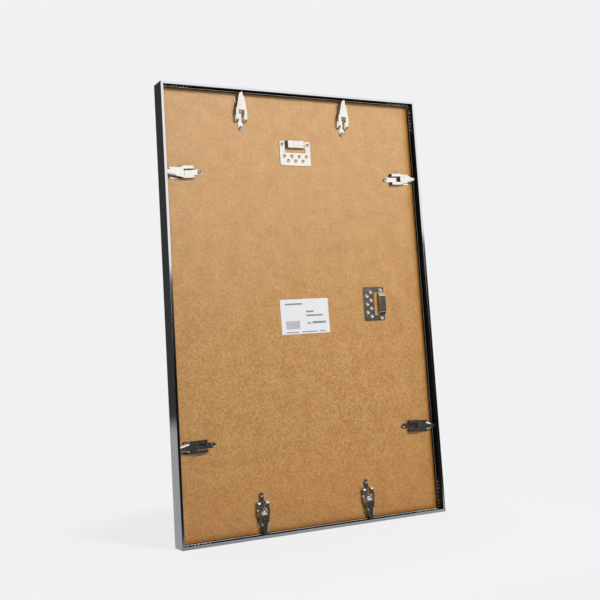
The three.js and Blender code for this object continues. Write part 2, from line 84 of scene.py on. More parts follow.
# Places and names that come from the CAD part
CAD_LOW, CAD_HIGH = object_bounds()
FRAME_WIDTH = CAD_HIGH.x - CAD_LOW.x
FRAME_HEIGHT = CAD_HIGH.z - CAD_LOW.z
BACK_Y = CAD_HIGH.y
BOARD_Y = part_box("back_board")[1].y
GLAZING_FRONT_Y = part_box("glazing_sheet")[0].y
ROOT_BODY = "frame"
CORNERS = ("bottom_left", "bottom_right", "top_right", "top_left")
SCREWS_PER_KEY = 4

# How finely round forms are divided
CORNER_STEPS = 6
BEND_STEPS = 4
LEG_BEND_STEPS = 8
QUARTER_TURN_STEPS = 8
HALF_TURN_STEPS = 12

# Distances within which points are one or count as touching a line
MERGE = 1e-7
TOUCH = 1e-6

# Angles between faces from which an edge is rounded or shaded sharp, and up to which they are one flat
ROUNDED_EDGE = math.radians(35)
SHARP_EDGE = math.radians(40)
FLAT = math.radians(0.5)

# Print on the label, in millimetres from its middle: left edge, lower edge, width and height
LABEL_RULES = (
    (-31.5, 16.6, 28.0, 2.4),
    (2.0, 5.3, 12.0, 2.4),
    (2.0, -0.3, 27.0, 2.4),
    (2.5, -11.0, 6.0, 2.2),
    (11.0, -11.0, 22.0, 3.2),
    (-32.0, -23.0, 20.0, 1.5),
    (-7.0, -22.8, 25.0, 1.5),
    (22.0, -22.6, 9.0, 1.5),
)
LABEL_PANEL = (-32.0, -17.5, 23.0, 11.5)


def length(name, description, millimetres):
    """A size in metres whose default is written in millimetres."""
    return FloatProperty(
        name=name,
        description=description,
        default=millimetres * MM,
        precision=5,
        unit="LENGTH",
        subtype="DISTANCE",
    )


def angle(name, description, degrees):
    """An angle whose default is written in degrees."""
    return FloatProperty(
        name=name, description=description, default=math.radians(degrees), unit="ROTATION", subtype="ANGLE"
    )


def share(name, description, value):
    """A share from 0 to 1."""
    return FloatProperty(
        name=name, description=description, default=value, min=0.0, max=1.0, subtype="FACTOR"
    )


def number(name, description, value):
    """A plain number."""
    return FloatProperty(name=name, description=description, default=value)


def location(name, description, value):
    """A place in metres."""
    return FloatVectorProperty(
        name=name, description=description, default=value, size=3, unit="LENGTH", subtype="XYZ"
    )


def count(name, description, value, least=1):
    """A whole number of sides, holes or teeth."""
    return IntProperty(name=name, description=description, default=value, min=least)


def colour(name, description, value):
    """A linear colour."""
    return FloatVectorProperty(
        name=name, description=description, default=value, size=3, min=0.0, max=1.0, subtype="COLOR"
    )


class RailSettings(bpy.types.PropertyGroup):
    """Sizes and finish of the extruded rails"""

    wall: length("Wall", "Thickness of the outer wall", 1.4)
    bead_width: length("Bead width", "Width of the flat back bead", 3.7)
    lip_inset: length("Lip inset", "How far in the lip beside the board reaches", 4.3)
    lip_edge: length("Lip edge", "Height of the raw edge of that lip", 0.6)
    bead_depth: length("Bead depth", "Depth of the back bead", 5.0)
    slot_mouth: length("Slot mouth", "Opening of the slot behind the bead", 7.0)
    slot_undercut: length("Slot undercut", "How far the slot widens behind its lips", 1.0)
    slot_depth: length("Slot depth", "Depth of the slot's widened part", 1.5)
    front_width: length("Front width", "Width of the face on the picture side", 9.0)
    seat_gap: length("Seat gap", "Gap between the glazing and its seat", 0.1)
    mitre_gap: length("Mitre gap", "Gap between two mitred ends", 0.1)
    edge_round: length("Edge rounding", "Rounding of the long edges", 0.3)
    mitre_round: length("Mitre rounding", "Rounding of the mitred ends", 0.06)
    metal: colour("Metal", "Colour of the polished aluminium", (0.70, 0.705, 0.715))
    # Painted shade: how bright the channel is drawn, darkened for the shade that falls in it.
    painted_channel_shade: share("Inside shade", "Brightness of the unpolished channel", 0.03)
    lip_shade: share("Lip shade", "Brightness of the raw edge beside the board", 1.0)


class ClipSettings(bpy.types.PropertyGroup):
    """Sizes and finish of the turn clips, from the pivot towards the tip"""

    sheet: length("Sheet", "Thickness of the sheet", 0.8)
    run_gap: length("Running gap", "Gap between the clip and the board", 0.3)
    reach: length("Reach", "Distance from the pivot to the tip", 52.4)
    tip_radius: length("Tip radius", "Radius of the round tip", 2.8)
    tip_top: length("Tip top", "Height of the tip's upper face over the board", 8.5)
    plate_rise: length("Plate rise", "How far the arrow climbs to its tip", 1.5)
    shoulder: length("Shoulder", "Distance from the pivot to the widest place", 25.0)
    shoulder_half: length("Shoulder half width", "Half the width at the shoulder", 8.6)
    shoulder_run: length("Shoulder run", "Length of the slanted shoulder", 3.0)
    shoulder_round: length("Shoulder rounding", "Radius of the shoulder's corner", 8.0)
    arrow_half: length("Arrow half width", "Half the width where the arrow starts", 7.4)
    arrow_round: length("Arrow rounding", "Radius where the arrow starts", 12.0)
    fold_start: length("Fold start", "Where the arrow's edges start to fold down", 37.0)
    fold_run: length("Fold run", "Length over which the folded edges form", 3.0)
    fold_width: length("Fold width", "Width of the folded edges", 1.6)
    fold_angle: angle("Fold angle", "How far the arrow's edges fold down", 24.0)
    tongue_width: length("Tongue width", "Width of the tongue on the board", 7.2)
    tongue_ramp: length("Tongue ramp", "Length of the tongue's ramp in plan", 4.4)
    tongue_bend: length("Tongue bend", "Radius of the bends in the tongue", 0.9)
    window_setback: length("Window setback", "How far the leg slots end past the shoulder", 1.0)
    leg_slot: length("Leg slot", "Width of the slot between leg and tongue", 0.7)
    leg_length: length("Leg length", "Length of the rear legs in plan", 17.0)
    leg_end_half: length("Leg end half width", "Half the width over both leg ends", 8.2)
    leg_corner: length("Leg corner", "Radius of the leg ends' corners", 1.9)
    leg_bend_radius: length("Leg bend radius", "Radius of the bends in the legs", 1.8)
    leg_bend_angle: angle("Leg bend angle", "How far the leg ends bend down", 60.0)
    leg_drop: length("Leg drop", "Length of the straight leg ends below their bends", 4.5)
    runner_width: length("Runner width", "Width of a runner's rear part", 3.6)
    runner_heel: length("Runner heel", "Distance from the pivot to a runner's rear end", 8.4)
    runner_taper: length("Runner taper", "How much narrower a runner's front part is", 1.0)
    runner_rear_ramp: length("Runner rear ramp", "Length of a runner's rear ramp in plan", 3.0)
    runner_front_ramp: length("Runner front ramp", "Length of a runner's front ramp in plan", 7.0)
    runner_root: length("Runner root", "Length over which a runner meets the plate", 2.0)
    runner_setback: length("Runner setback", "How far a runner ends before the tip", 8.4)
    pivot_hole: length("Pivot hole", "Radius of the hole for the rivet", 2.05)
    edge_round: length("Edge rounding", "Rounding of the stamped edges", 0.18)
    metal: colour("Metal", "Colour of the nickel plating", (0.80, 0.785, 0.72))
    haze: share("Haze", "Roughness of the clips' plating", 0.05)


class RivetSettings(bpy.types.PropertyGroup):
    """Sizes and finish of the hollow rivets"""

    head_radius: length("Head radius", "Radius of the coned head", 3.1)
    head_height: length("Head height", "Height of the coned head", 1.1)
    head_gap: length("Head gap", "Gap between head and clip", 0.2)
    crown_radius: length("Crown radius", "Radius of the head's flat top", 2.8)
    mouth_radius: length("Mouth radius", "Radius of the funnel's mouth in the top", 2.65)
    floor_radius: length("Floor radius", "Radius of the funnel's floor", 1.2)
    funnel_depth: length("Funnel depth", "Depth of the funnel", 1.35)
    core_fit: share("Core fit", "Width of the core beside the funnel's floor", 0.95)
    core_taper: share("Core taper", "Width of the core's top beside its foot", 0.85)
    core_height: length("Core height", "How far the core stands up from the funnel's floor", 0.15)
    metal: colour("Metal", "Colour of the steel heads", (0.50, 0.475, 0.43))
    shank_radius: length("Shank radius", "Radius of the shank", 1.8)
    flange_radius: length("Flange radius", "Radius of the flange in front of the board", 2.9)
    flange_thickness: length("Flange thickness", "Thickness of that flange", 0.6)
    flange_depth: length("Flange depth", "Depth of the flange's back face under the board's back", 2.2)
    sides: count("Sides", "Sides of the round forms", 32, 8)


class HangerSettings(bpy.types.PropertyGroup):
    """Sizes and finish of the stamped hangers, from the middle of the strap edge"""

    width: length("Width", "Width of the plate", 50.0)
    height: length("Height", "Height of the plate", 36.0)
    sheet: length("Sheet", "Thickness of the sheet", 1.0)
    gap: length("Gap", "Gap between plate and board", 0.1)
    corner: length("Corner", "Radius of the plate's corners", 3.0)
    window_width: length("Window width", "Width of the hook window", 34.0)
    window_height: length("Window height", "Distance from the strap edge to the window's end", 17.2)
    strap_width: length("Strap width", "Width of the raised strap", 10.5)
    strap_flat: length("Strap flat", "Length of the strap's flat top", 24.0)
    strap_rise: length("Strap rise", "Height of the strap over the plate", 4.4)
    strap_bend: length("Strap bend", "Radius of the bends in the strap", 1.2)
    hole_radius: length("Hole radius", "Radius of the pierced holes", 1.9)
    hole_pitch: length("Hole pitch", "Distance between the holes of a row", 12.0)
    ear_hole_in: length("Ear hole in", "Distance of an ear's hole from the side", 4.2)
    ear_hole_down: length("Ear hole down", "Distance of an ear's hole from the strap edge", 5.4)
    upper_row_down: length("Upper row down", "Distance of the upper row from the strap edge", 22.8)
    lower_row_down: length("Lower row down", "Distance of the lower row from the strap edge", 29.4)
    upper_row_count: count("Upper row", "Holes in the upper row", 4)
    lower_row_count: count("Lower row", "Holes in the lower row", 3)
    rim_radius: length("Rim radius", "Outer radius of the dished rims round the holes", 2.9)
    rim_length: length("Rim length", "How far a rim reaches under the board's face", 1.3)
    plug_height: length("Plug height", "Height of the pressed fibres in a hole over the board", 0.15)
    metal: colour("Metal", "Colour of the nickel plating", (0.80, 0.785, 0.72))
    haze: share("Haze", "Roughness of the hangers' plating", 0.09)
    plug: colour("Plug", "Colour of the bare fibres in the holes", (0.52, 0.36, 0.21))
    sides: count("Sides", "Sides of the round holes and rims", 20, 8)
    edge_round: length("Edge rounding", "Rounding of the stamped edges", 0.25)


class KeySettings(bpy.types.PropertyGroup):
    """Sizes and finish of the corner keys, their teeth and their set screws"""

    radius: length("Radius", "Radius of a set screw", 1.7)
    height: length("Height", "Length of a set screw", 2.5)
    slot_width: length("Slot width", "Width of the driver slot", 0.8)
    slot_depth: length("Slot depth", "Depth of the driver slot", 0.9)
    sides: count("Sides", "Sides of the round forms", 24, 8)
    tooth_count: count("Teeth", "Teeth on each leg of a key", 8)
    tooth_pitch: length("Tooth pitch", "Distance between the teeth", 5.2)
    tooth_start: length("Tooth start", "Distance of the first tooth from the frame's corner", 6.0)
    tooth_radius: length("Tooth radius", "Radius of a tooth at its foot", 0.9)
    tooth_taper: share("Tooth taper", "Width of a tooth's top beside its foot", 0.4)
    tooth_low: length("Tooth foot", "Height of a tooth's foot over the rail's outer face", 2.6)
    tooth_high: length("Tooth top", "Height of a tooth's top over the rail's outer face", 4.0)
    tooth_depth: length("Tooth depth", "Depth of the row of teeth under the frame's back", 10.7)
    metal: colour("Metal", "Colour of the screws' zinc plating", (0.60, 0.61, 0.62))
    # Painted shade: the keys' bodies are drawn near black for the shade in the rail channels.
    body: colour("Body", "Colour of the keys' black plating", (0.06, 0.06, 0.06))
    bare: colour("Bare metal", "Colour of the worn teeth", (0.86, 0.86, 0.85))
    bare_metallic: share("Bare metallic", "How far the worn teeth mirror as metal does", 0.3)


class SheetSettings(bpy.types.PropertyGroup):
    """Finish of the board, the paper and the glazing"""

    board_dark: colour("Board dark", "Darker fibres of the hardboard", (0.347, 0.145, 0.018))
    board_light: colour("Board light", "Lighter fibres of the hardboard", (0.549, 0.311, 0.110))
    paper: colour("Paper", "Colour of the blank insert", (0.86, 0.86, 0.84))
    label: colour("Label", "Colour of the label's paper", (0.67, 0.67, 0.685))
    ink: colour("Ink", "Colour of the label's rules", (0.05, 0.05, 0.055))
    gloss: colour("Gloss", "Tint of what the glazing mirrors", (0.9, 0.93, 0.94))
    clear: colour("Clear", "Tint of what is seen through the glazing", (0.985, 0.99, 0.99))
    label_turn: angle("Label turn", "How far the label stands off square", 1.0)


class StageSettings(bpy.types.PropertyGroup):
    """Camera, light, floor and surroundings"""

    backdrop: colour("Backdrop", "Colour of floor and background", (0.880, 0.880, 0.896))
    camera_place: location("Camera place", "Where the camera stands", (0.6583, 1.1769, 0.2350))
    camera_turn: FloatVectorProperty(
        name="Camera turn",
        description="How the camera is turned",
        default=[math.radians(turn) for turn in (96.571, 3.305, 153.702)],
        subtype="EULER",
    )
    lens: FloatProperty(
        name="Lens", description="Focal length of the camera", default=56.71, unit="CAMERA"
    )
    sensor: FloatProperty(
        name="Sensor", description="Width of the camera's sensor", default=36.0, unit="CAMERA"
    )
    shift_x: number("Shift across", "Lens shift across, as a share of the picture", 0.0672)
    shift_y: number("Shift up", "Lens shift up, as a share of the picture", -0.0793)
    key_power: FloatProperty(
        name="Key power", description="Power of the key lamp", default=75.5, unit="POWER"
    )
    key_place: location("Key place", "Where the key lamp stands", (-0.8, 2.4, 1.5))
    key_width: length("Key width", "Width of the key lamp", 700.0)
    key_height: length("Key height", "Height of the key lamp", 550.0)
    ambient: share("Ambient", "Level of the even light from all round", 0.08)
    front_fill: share("Front fill", "Soft light on the picture side", 0.7)
    shadow_share: share("Shadow share", "How much of the lamp's light and shade the floor shows", 0.18)
    shadow_near: length("Shadow near", "Distance at which the floor's shade starts to fade", 260.0)
    shadow_far: length("Shadow far", "Distance at which the floor's shade is gone", 460.0)
    floor_lift: number("Floor lift", "Brightness of the floor near the frame", 1.05)
    floor_reach: length("Floor reach", "How far the floor reaches each way", 20000.0)
    softbox_level: number("Softbox level", "Brightness of the mirrored softbox", 1.15)
    softbox_tint: number("Softbox tint", "Blue of the mirrored studio beside its red and green", 1.02)
    dusk_front: number("Dusk in front", "Brightness of the mirrored dim band in front", 0.045)
    dusk_back: number("Dusk behind", "Brightness of the mirrored dim band behind the frame", 0.008)
    dusk_glow: number("Dusk glow", "Brightness that the softbox adds to the band below it", 0.09)
    mirrored_floor: number("Mirrored floor", "Brightness of the mirrored floor further off", 0.42)
    mirrored_foot: number("Mirrored foot", "Brightness of the mirrored floor straight below", 0.04)


class PosterFrameSettings(bpy.types.PropertyGroup):
    """All settings of the poster frame"""

    rails: PointerProperty(type=RailSettings, name="Rails")
    clips: PointerProperty(type=ClipSettings, name="Clips")
    rivets: PointerProperty(type=RivetSettings, name="Rivets")
    hangers: PointerProperty(type=HangerSettings, name="Hangers")
    keys: PointerProperty(type=KeySettings, name="Corner keys")
    sheets: PointerProperty(type=SheetSettings, name="Sheets")
    stage: PointerProperty(type=StageSettings, name="Stage")


class Value:
    """A node's output that takes part in Python expressions, each of which adds a Math node."""

    def __init__(self, graph, socket):
        self.graph = graph
        self.socket = socket

    def math(self, operation, first, second):
        return self.graph.node("ShaderNodeMath", {"operation": operation}, {0: first, 1: second})

    def __add__(self, other):
        return self.math("ADD", self, other)

    def __radd__(self, other):
        return self.math("ADD", other, self)

    def __sub__(self, other):
        return self.math("SUBTRACT", self, other)

    def __rsub__(self, other):
        return self.math("SUBTRACT", other, self)

    def __mul__(self, other):
        return self.math("MULTIPLY", self, other)

    def __rmul__(self, other):
        return self.math("MULTIPLY", other, self)

    def __pow__(self, other):
        return self.math("POWER", self, other)

    def __gt__(self, other):
        return self.math("GREATER_THAN", self, other)

    def __lt__(self, other):
        return self.math("LESS_THAN", self, other)


class Graph:
    """The nodes of one material, world or geometry tree."""

    def __init__(self, tree):
        self.tree = tree
        tree.nodes.clear()

    def node(self, kind, settings=None, inputs=None, output=0):
        """Adds a node and returns one output, or a list of them where output is a tuple of names.

        A list among the inputs holds several links to one socket.
        """
        made = self.tree.nodes.new(kind)
        for key, value in (settings or {}).items():
            setattr(made, key, value)
        for key, value in (inputs or {}).items():
            links = value if isinstance(value, list) else [value]
            for link in links:
                if isinstance(link, Value):
                    self.tree.links.new(link.socket, made.inputs[key])
                else:
                    made.inputs[key].default_value = link
        if isinstance(output, tuple):
            return [Value(self, made.outputs[name]) for name in output]
        return Value(self, made.outputs[output]) if len(made.outputs) else None

    def place(self):
        """The piece's own coordinates in metres."""
        return self.node("ShaderNodeTexCoord", output="Object")

    def noise(self, place, scale, detail=2.0, roughness=0.5, distortion=0.0):
        """Noise from 0 to 1 round 0.5."""
        sizes = {
            "Vector": place,
            "Scale": scale,
            "Detail": detail,
            "Roughness": roughness,
            "Distortion": distortion,
        }
        return self.node("ShaderNodeTexNoise", {}, sizes)

    def ramp(self, value, low, high, to_low=0.0, to_high=1.0):
        """A smooth step from to_low to to_high as the value goes from low to high."""
        ends = {"Value": value, "From Min": low, "From Max": high, "To Min": to_low, "To Max": to_high}
        return self.node("ShaderNodeMapRange", {"interpolation_type": "SMOOTHSTEP"}, ends)

    def blend(self, factor, first, second):
        """A colour between two colours."""
        ends = {0: factor, 6: opaque(first), 7: opaque(second)}
        return self.node("ShaderNodeMix", {"data_type": "RGBA"}, ends, 2)

    def vector(self, x, y, z):
        """A vector of three numbers."""
        return self.node("ShaderNodeCombineXYZ", {}, {"X": x, "Y": y, "Z": z})

    def parts(self, vector):
        """The three numbers of a vector."""
        return self.node("ShaderNodeSeparateXYZ", {}, {0: vector}, ("X", "Y", "Z"))

    def bump(self, height, strength, distance):
        """A normal that leans with a height, where the distance is what a height of 1 stands for."""
        relief = {"Height": height, "Strength": strength, "Distance": distance}
        return self.node("ShaderNodeBump", {}, relief)


def opaque(tint):
    """A colour with an alpha of 1, or a link as it is."""
    return tint if isinstance(tint, Value) else (*tint, 1.0)


def scaled(tint, level):
    """A colour made darker or brighter."""
    return [level * part for part in tint]


def new_material(name):
    """A material with an empty node tree."""
    material = bpy.data.materials.new(name)
    material.use_nodes = True
    return material, Graph(material.node_tree)


def surface(graph, inputs):
    """A Principled shader on the material's output."""
    shader = graph.node("ShaderNodeBsdfPrincipled", {}, inputs)
    graph.node("ShaderNodeOutputMaterial", {}, {"Surface": shader})


def polished_aluminium(rails):
    """Polished extrusion: fine die lines along the rail, faint haze, and a channel that is rougher and darkened
    with painted shade.
    """
    material, graph = new_material("polished_aluminium")
    along, around, _ = graph.parts(graph.node("ShaderNodeUVMap", {"uv_map": "rail"}))
    lines_per_metre = 2600.0
    breaks_per_metre = 3.0
    drawn = graph.vector(along * breaks_per_metre, around * lines_per_metre, 0.0)
    die_lines = graph.noise(drawn, scale=1.0, detail=3.0)
    haze = graph.noise(graph.place(), scale=14.0, detail=3.0)
    channel_start, lip_top, channel_end = channel_range(rails)
    blur = rails.edge_round
    # Painted shade: the channel and the far lip's face towards the board are darkened, as shade falls there.
    channel_shade_mask = graph.ramp(around, channel_start, channel_start + blur)
    channel_shade_mask = channel_shade_mask * graph.ramp(around, channel_end, channel_end - blur)
    lip = (around > lip_top - rails.lip_edge) * (around < lip_top)
    shaded = scaled(rails.metal, rails.painted_channel_shade)
    raw = scaled(rails.metal, rails.lip_shade)
    dull = scaled(rails.metal, 0.93)
    polish = graph.blend(graph.ramp(die_lines, 0.3, 0.7), dull, rails.metal)
    surface(graph, {
        "Base Color": graph.blend(lip, graph.blend(channel_shade_mask, polish, shaded), raw),
        "Metallic": 1.0 - lip,
        "Roughness": 0.04 + 0.02 * die_lines + 0.02 * haze + 0.7 * channel_shade_mask,
        "Normal": graph.bump(die_lines, strength=0.02, distance=0.02 * MM),
    })
    return material


def nickel_plate(name, tint, haze):
    """Nickel plated sheet: bright and smooth, with faint rolled lines and slight waves from the press."""
    material, graph = new_material(name)
    place = graph.place()
    across, deep, up = graph.parts(place)
    lines_per_metre = 2200.0
    breaks_per_metre = 90.0
    rolled = graph.vector(across * lines_per_metre, deep * lines_per_metre, up * breaks_per_metre)
    clouds = graph.noise(place, scale=70.0, detail=2.0)
    rolling = graph.noise(rolled, scale=1.0, detail=2.0)
    dull = scaled(tint, 0.90)
    surface(graph, {
        "Base Color": graph.blend(graph.ramp(clouds, 0.3, 0.65), dull, tint),
        "Metallic": 0.955,
        "Roughness": haze * (1.0 + 0.5 * clouds + 0.25 * rolling),
        "Normal": graph.bump(clouds + 0.03 * rolling, strength=0.08, distance=0.4 * MM),
    })
    return material


def rolled_steel(tint):
    """Steel of the rivets' heads: bright, with a fine and uneven grain."""
    material, graph = new_material("rolled_steel")
    grain = graph.noise(graph.place(), scale=900.0, detail=2.0)
    dull = scaled(tint, 0.75)
    surface(graph, {
        "Base Color": graph.blend(graph.ramp(grain, 0.35, 0.65), dull, tint),
        "Metallic": 1.0,
        "Roughness": 0.10 + 0.08 * grain,
        "Normal": graph.bump(grain, strength=0.1, distance=0.05 * MM),
    })
    return material


def zinc_plate(name, tint, metallic=1.0):
    """Zinc plated or bare steel with a crystalline mottle."""
    material, graph = new_material(name)
    crystals = {"Vector": graph.place(), "Scale": 520.0}
    spangle = graph.node("ShaderNodeTexVoronoi", {}, crystals, "Color")
    level = graph.node("ShaderNodeRGBToBW", {}, {"Color": spangle})
    dull = scaled(tint, 0.72)
    surface(graph, {
        "Base Color": graph.blend(level, dull, tint),
        "Metallic": metallic,
        "Roughness": 0.24 + 0.16 * level,
        "Normal": graph.bump(level, strength=0.06, distance=0.05 * MM),
    })
    return material


def hardboard(dark, light):
    """Pressed wood fibre: cloudy patches, a speckle that fades towards the top as painted sheen, painted shade
    along the edges and towards the foot, and a waxy face.
    """
    material, graph = new_material("hardboard")
    place = graph.place()
    across, _, up = graph.parts(place)
    clouds = graph.noise(place, scale=42.0, detail=2.0)
    mottle = graph.noise(place, scale=460.0, detail=3.0, roughness=0.6)
    grain = graph.noise(place, scale=800.0, detail=2.0, roughness=0.6, distortion=2.4)
    speckle = graph.ramp(0.6 * mottle + 0.4 * grain, 0.385, 0.615) - 0.5
    # Painted sheen: the speckle fades towards the top, where the board's sheen washes it out.
    painted_sheen_from = 200 * MM
    painted_sheen_to = 460 * MM
    speckle_under_painted_sheen = graph.ramp(up, painted_sheen_from, painted_sheen_to, 1.0, 0.5)
    # Painted shade: the board is darkened within 7 mm of its edges, where the rails shade it.
    low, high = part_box("back_board")
    rim = 7 * MM
    inner = graph.ramp(across, low.x, low.x + rim) * graph.ramp(across, high.x, high.x - rim)
    inner = inner * graph.ramp(up, low.z, low.z + rim) * graph.ramp(up, high.z, high.z - rim)
    level = 0.5 + speckle * speckle_under_painted_sheen + (clouds - 0.5) * 0.7 - 0.6 * (1.0 - inner)
    # Painted shade: the board grows darker and warmer towards its foot, on top of its random stains.
    painted_shade_height = 160 * MM
    foot = graph.ramp(up, painted_shade_height, 0.0)
    stain_and_painted_shade = graph.ramp(graph.noise(place, scale=55.0, detail=1.0), 0.45, 0.7) + 0.6 * foot
    warm_dark = [dark[0] * 1.04, dark[1] * 0.91, dark[2] * 0.75]
    light_in_painted_shade = [light[0] * 0.97, light[1] * 0.87, light[2] * 0.70]
    fibres = graph.blend(foot, light, light_in_painted_shade)
    surface(graph, {
        "Base Color": graph.blend(level, graph.blend(stain_and_painted_shade, dark, warm_dark), fibres),
        "Roughness": 0.33 - 0.06 * mottle,
        "IOR": 1.8,
        "Specular IOR Level": 0.87,
        "Specular Tint": (0.92, 1.0, 0.98, 1.0),
        "Normal": graph.bump(grain + mottle, strength=0.12, distance=0.08 * MM),
    })
    return material


def bare_fibre(tint):
    """Torn wood fibre without the board's waxy face."""
    material, graph = new_material("bare_fibre")
    fibres = graph.noise(graph.place(), scale=1800.0, detail=3.0, roughness=0.6, distortion=1.5)
    shade = scaled(tint, 0.7)
    surface(graph, {
        "Base Color": graph.blend(graph.ramp(fibres, 0.3, 0.7), shade, tint),
        "Roughness": 0.75 + 0.15 * fibres,
        "Normal": graph.bump(fibres, strength=0.4, distance=0.1 * MM),
    })
    return material


def plain_paper(name, tint):
    """Uncoated paper with a faint fibre mottle."""
    material, graph = new_material(name)
    fibres = graph.noise(graph.place(), scale=1500.0, detail=3.0, roughness=0.6, distortion=0.8)
    shade = scaled(tint, 0.95)
    surface(graph, {
        "Base Color": graph.blend(graph.ramp(fibres, 0.3, 0.7), shade, tint),
        "Roughness": 0.62 + 0.1 * fibres,
        "Normal": graph.bump(fibres, strength=0.1, distance=0.02 * MM),
    })
    return material


def ruled_label(sheets):
    """Label paper with plain rules and one hatched panel."""
    material, graph = new_material("ruled_label")
    low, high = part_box("label")
    centre = (low + high) / 2
    place = graph.place()
    moved = graph.node("ShaderNodeVectorMath", {"operation": "SUBTRACT"}, {0: place, 1: centre})
    squared = {"Vector": moved, "Rotation": (0.0, -sheets.label_turn, 0.0)}
    right, _, up = graph.parts(graph.node("ShaderNodeMapping", {}, squared))
    across = right * (-1.0 / MM)
    height = up * (1.0 / MM)

    def block(left, bottom, wide, tall):
        return (across > left) * (across < left + wide) * (height > bottom) * (height < bottom + tall)

    def hatch(pitch, fill):
        wave = graph.node("ShaderNodeMath", {"operation": "PINGPONG"}, {0: across, 1: pitch / 2})
        return wave < fill * pitch / 2

    rules = sum(block(*rule) for rule in LABEL_RULES) * hatch(pitch=1.1, fill=0.78)
    panel = block(*LABEL_PANEL) * hatch(pitch=1.7, fill=0.55)
    fibres = graph.noise(place, scale=1500.0, detail=3.0, roughness=0.6, distortion=0.8)
    shade = scaled(sheets.label, 0.96)
    paper = graph.blend(graph.ramp(fibres, 0.3, 0.7), shade, sheets.label)
    surface(graph, {
        "Base Color": graph.blend(0.9 * rules + 0.75 * panel, paper, sheets.ink),
        "Roughness": 0.5 + 0.1 * fibres,
        "Normal": graph.bump(fibres, strength=0.08, distance=0.02 * MM),
    })
    return material


def clear_acrylic(gloss_tint, clear_tint):
    """Clear acrylic sheet: see-through, with a glossy face that mirrors more at a slant."""
    material, graph = new_material("clear_acrylic")
    waves = graph.noise(graph.place(), scale=9.0, detail=1.0)
    gloss = graph.node("ShaderNodeBsdfPrincipled", {}, {
        "Base Color": opaque(gloss_tint),
        "Metallic": 1.0,
        "Roughness": 0.02 + 0.02 * waves,
    })
    clear = graph.node("ShaderNodeBsdfTransparent", {}, {"Color": opaque(clear_tint)})
    slant = graph.node("ShaderNodeLayerWeight", {}, {"Blend": 0.5}, "Facing")
    head_on = 0.04
    mirrored = head_on + (1.0 - head_on) * slant ** 5.0
    mixed = graph.node("ShaderNodeMixShader", {}, {0: mirrored, 1: clear, 2: gloss})
    graph.node("ShaderNodeOutputMaterial", {}, {"Surface": mixed})
    return material


def rounded_path(corners, steps=CORNER_STEPS):
    """An open or closed outline of (x, y, radius) corners, with each corner turned into an arc."""
    path = []
    for i, (x, y, radius) in enumerate(corners):
        here = Vector((x, y))
        before = Vector(corners[i - 1][:2]) - here
        after = Vector(corners[(i + 1) % len(corners)][:2]) - here
        if radius == 0.0:
            path.append(here)
            continue
        before.normalize()
        after.normalize()
        half = before.angle(after) / 2
        centre = here + (before + after).normalized() * (radius / math.sin(half))
        start = here + before * (radius / math.tan(half)) - centre
        sweep = start.angle_signed(here + after * (radius / math.tan(half)) - centre)
        for step in range(steps + 1):
            turned = start.copy()
            turned.rotate(Matrix.Rotation(-sweep * step / steps, 2))
            path.append(centre + turned)
    return path


def arc(centre_x, radius, start, end, steps):
    """Points of an arc round a place on the x axis, angles in degrees."""
    turns = [math.radians(start + (end - start) * step / steps) for step in range(steps + 1)]
    return [Vector((centre_x + radius * math.cos(turn), radius * math.sin(turn))) for turn in turns]


def height_on(line, x):
    """Height of a side line of (x, height) points at a place along it."""
    for here, after in zip(line, line[1:]):
        if x <= after.x:
            part = (x - here.x) / (after.x - here.x)
            return here.y + (after.y - here.y) * clamped(part)
    return line[-1].y


def clamped(value):
    """A value kept between 0 and 1."""
    return min(max(value, 0.0), 1.0)


def cut(bm, point, normal):
    """Cuts a sheet along a plane, so that it can bend there."""
    sheet = bm.verts[:] + bm.edges[:] + bm.faces[:]
    bmesh.ops.bisect_plane(bm, geom=sheet, plane_co=point, plane_no=normal, dist=MERGE)


def cut_across(bm, places):
    """Cuts a flat sheet along lines of equal x."""
    for x in places:
        cut(bm, (x, 0, 0), (1, 0, 0))


def closed_mesh(bm, name):
    """The mesh of a bmesh, which is freed."""
    mesh = bpy.data.meshes.new(name)
    bm.to_mesh(mesh)
    bm.free()
    return mesh


def coat(mesh, material):
    """Gives a mesh one material."""
    mesh.materials.clear()
    mesh.materials.append(material)


def dress_node(name, material):
    """A CAD node keeps its shape and gets a material."""
    coat(frame["nodes"][name].data, material)


def new_piece(name, mesh, material):
    """An object with its mesh in place and one material."""
    piece = bpy.data.objects.new(name, mesh)
    bpy.context.scene.collection.objects.link(piece)
    coat(mesh, material)
    return piece


def placed_copy(name, shape, place, material):
    """A piece made of a copy of a shape, moved to its place."""
    mesh = shape.copy()
    mesh.transform(place)
    return new_piece(name, mesh, material)


def plain_mesh(piece):
    """The piece's mesh with its modifiers applied; the piece itself is removed."""
    evaluated = piece.evaluated_get(bpy.context.evaluated_depsgraph_get())
    mesh = bpy.data.meshes.new_from_object(evaluated)
    bpy.data.objects.remove(piece)
    return mesh


def settle(piece, body, slot, *nodes):
    """The piece rides on a body and stands for its CAD nodes, where it has any; the slot is not used."""
    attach(piece, body)
    if nodes:
        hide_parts(*nodes)


def bevelled(piece, width, segments=2, by_weight=False):
    """Rounds the piece's sharp edges and keeps its flats flat."""
    bevel = piece.modifiers.new("edges", "BEVEL")
    bevel.width = width
    bevel.segments = segments
    bevel.limit_method = "WEIGHT" if by_weight else "ANGLE"
    bevel.angle_limit = ROUNDED_EDGE
    bevel.harden_normals = True


def thickened(piece, sheet):
    """Gives a bent sheet its thickness, upwards from its under face."""
    solidify = piece.modifiers.new("sheet", "SOLIDIFY")
    solidify.thickness = sheet
    solidify.offset = 1.0
    solidify.use_even_offset = True


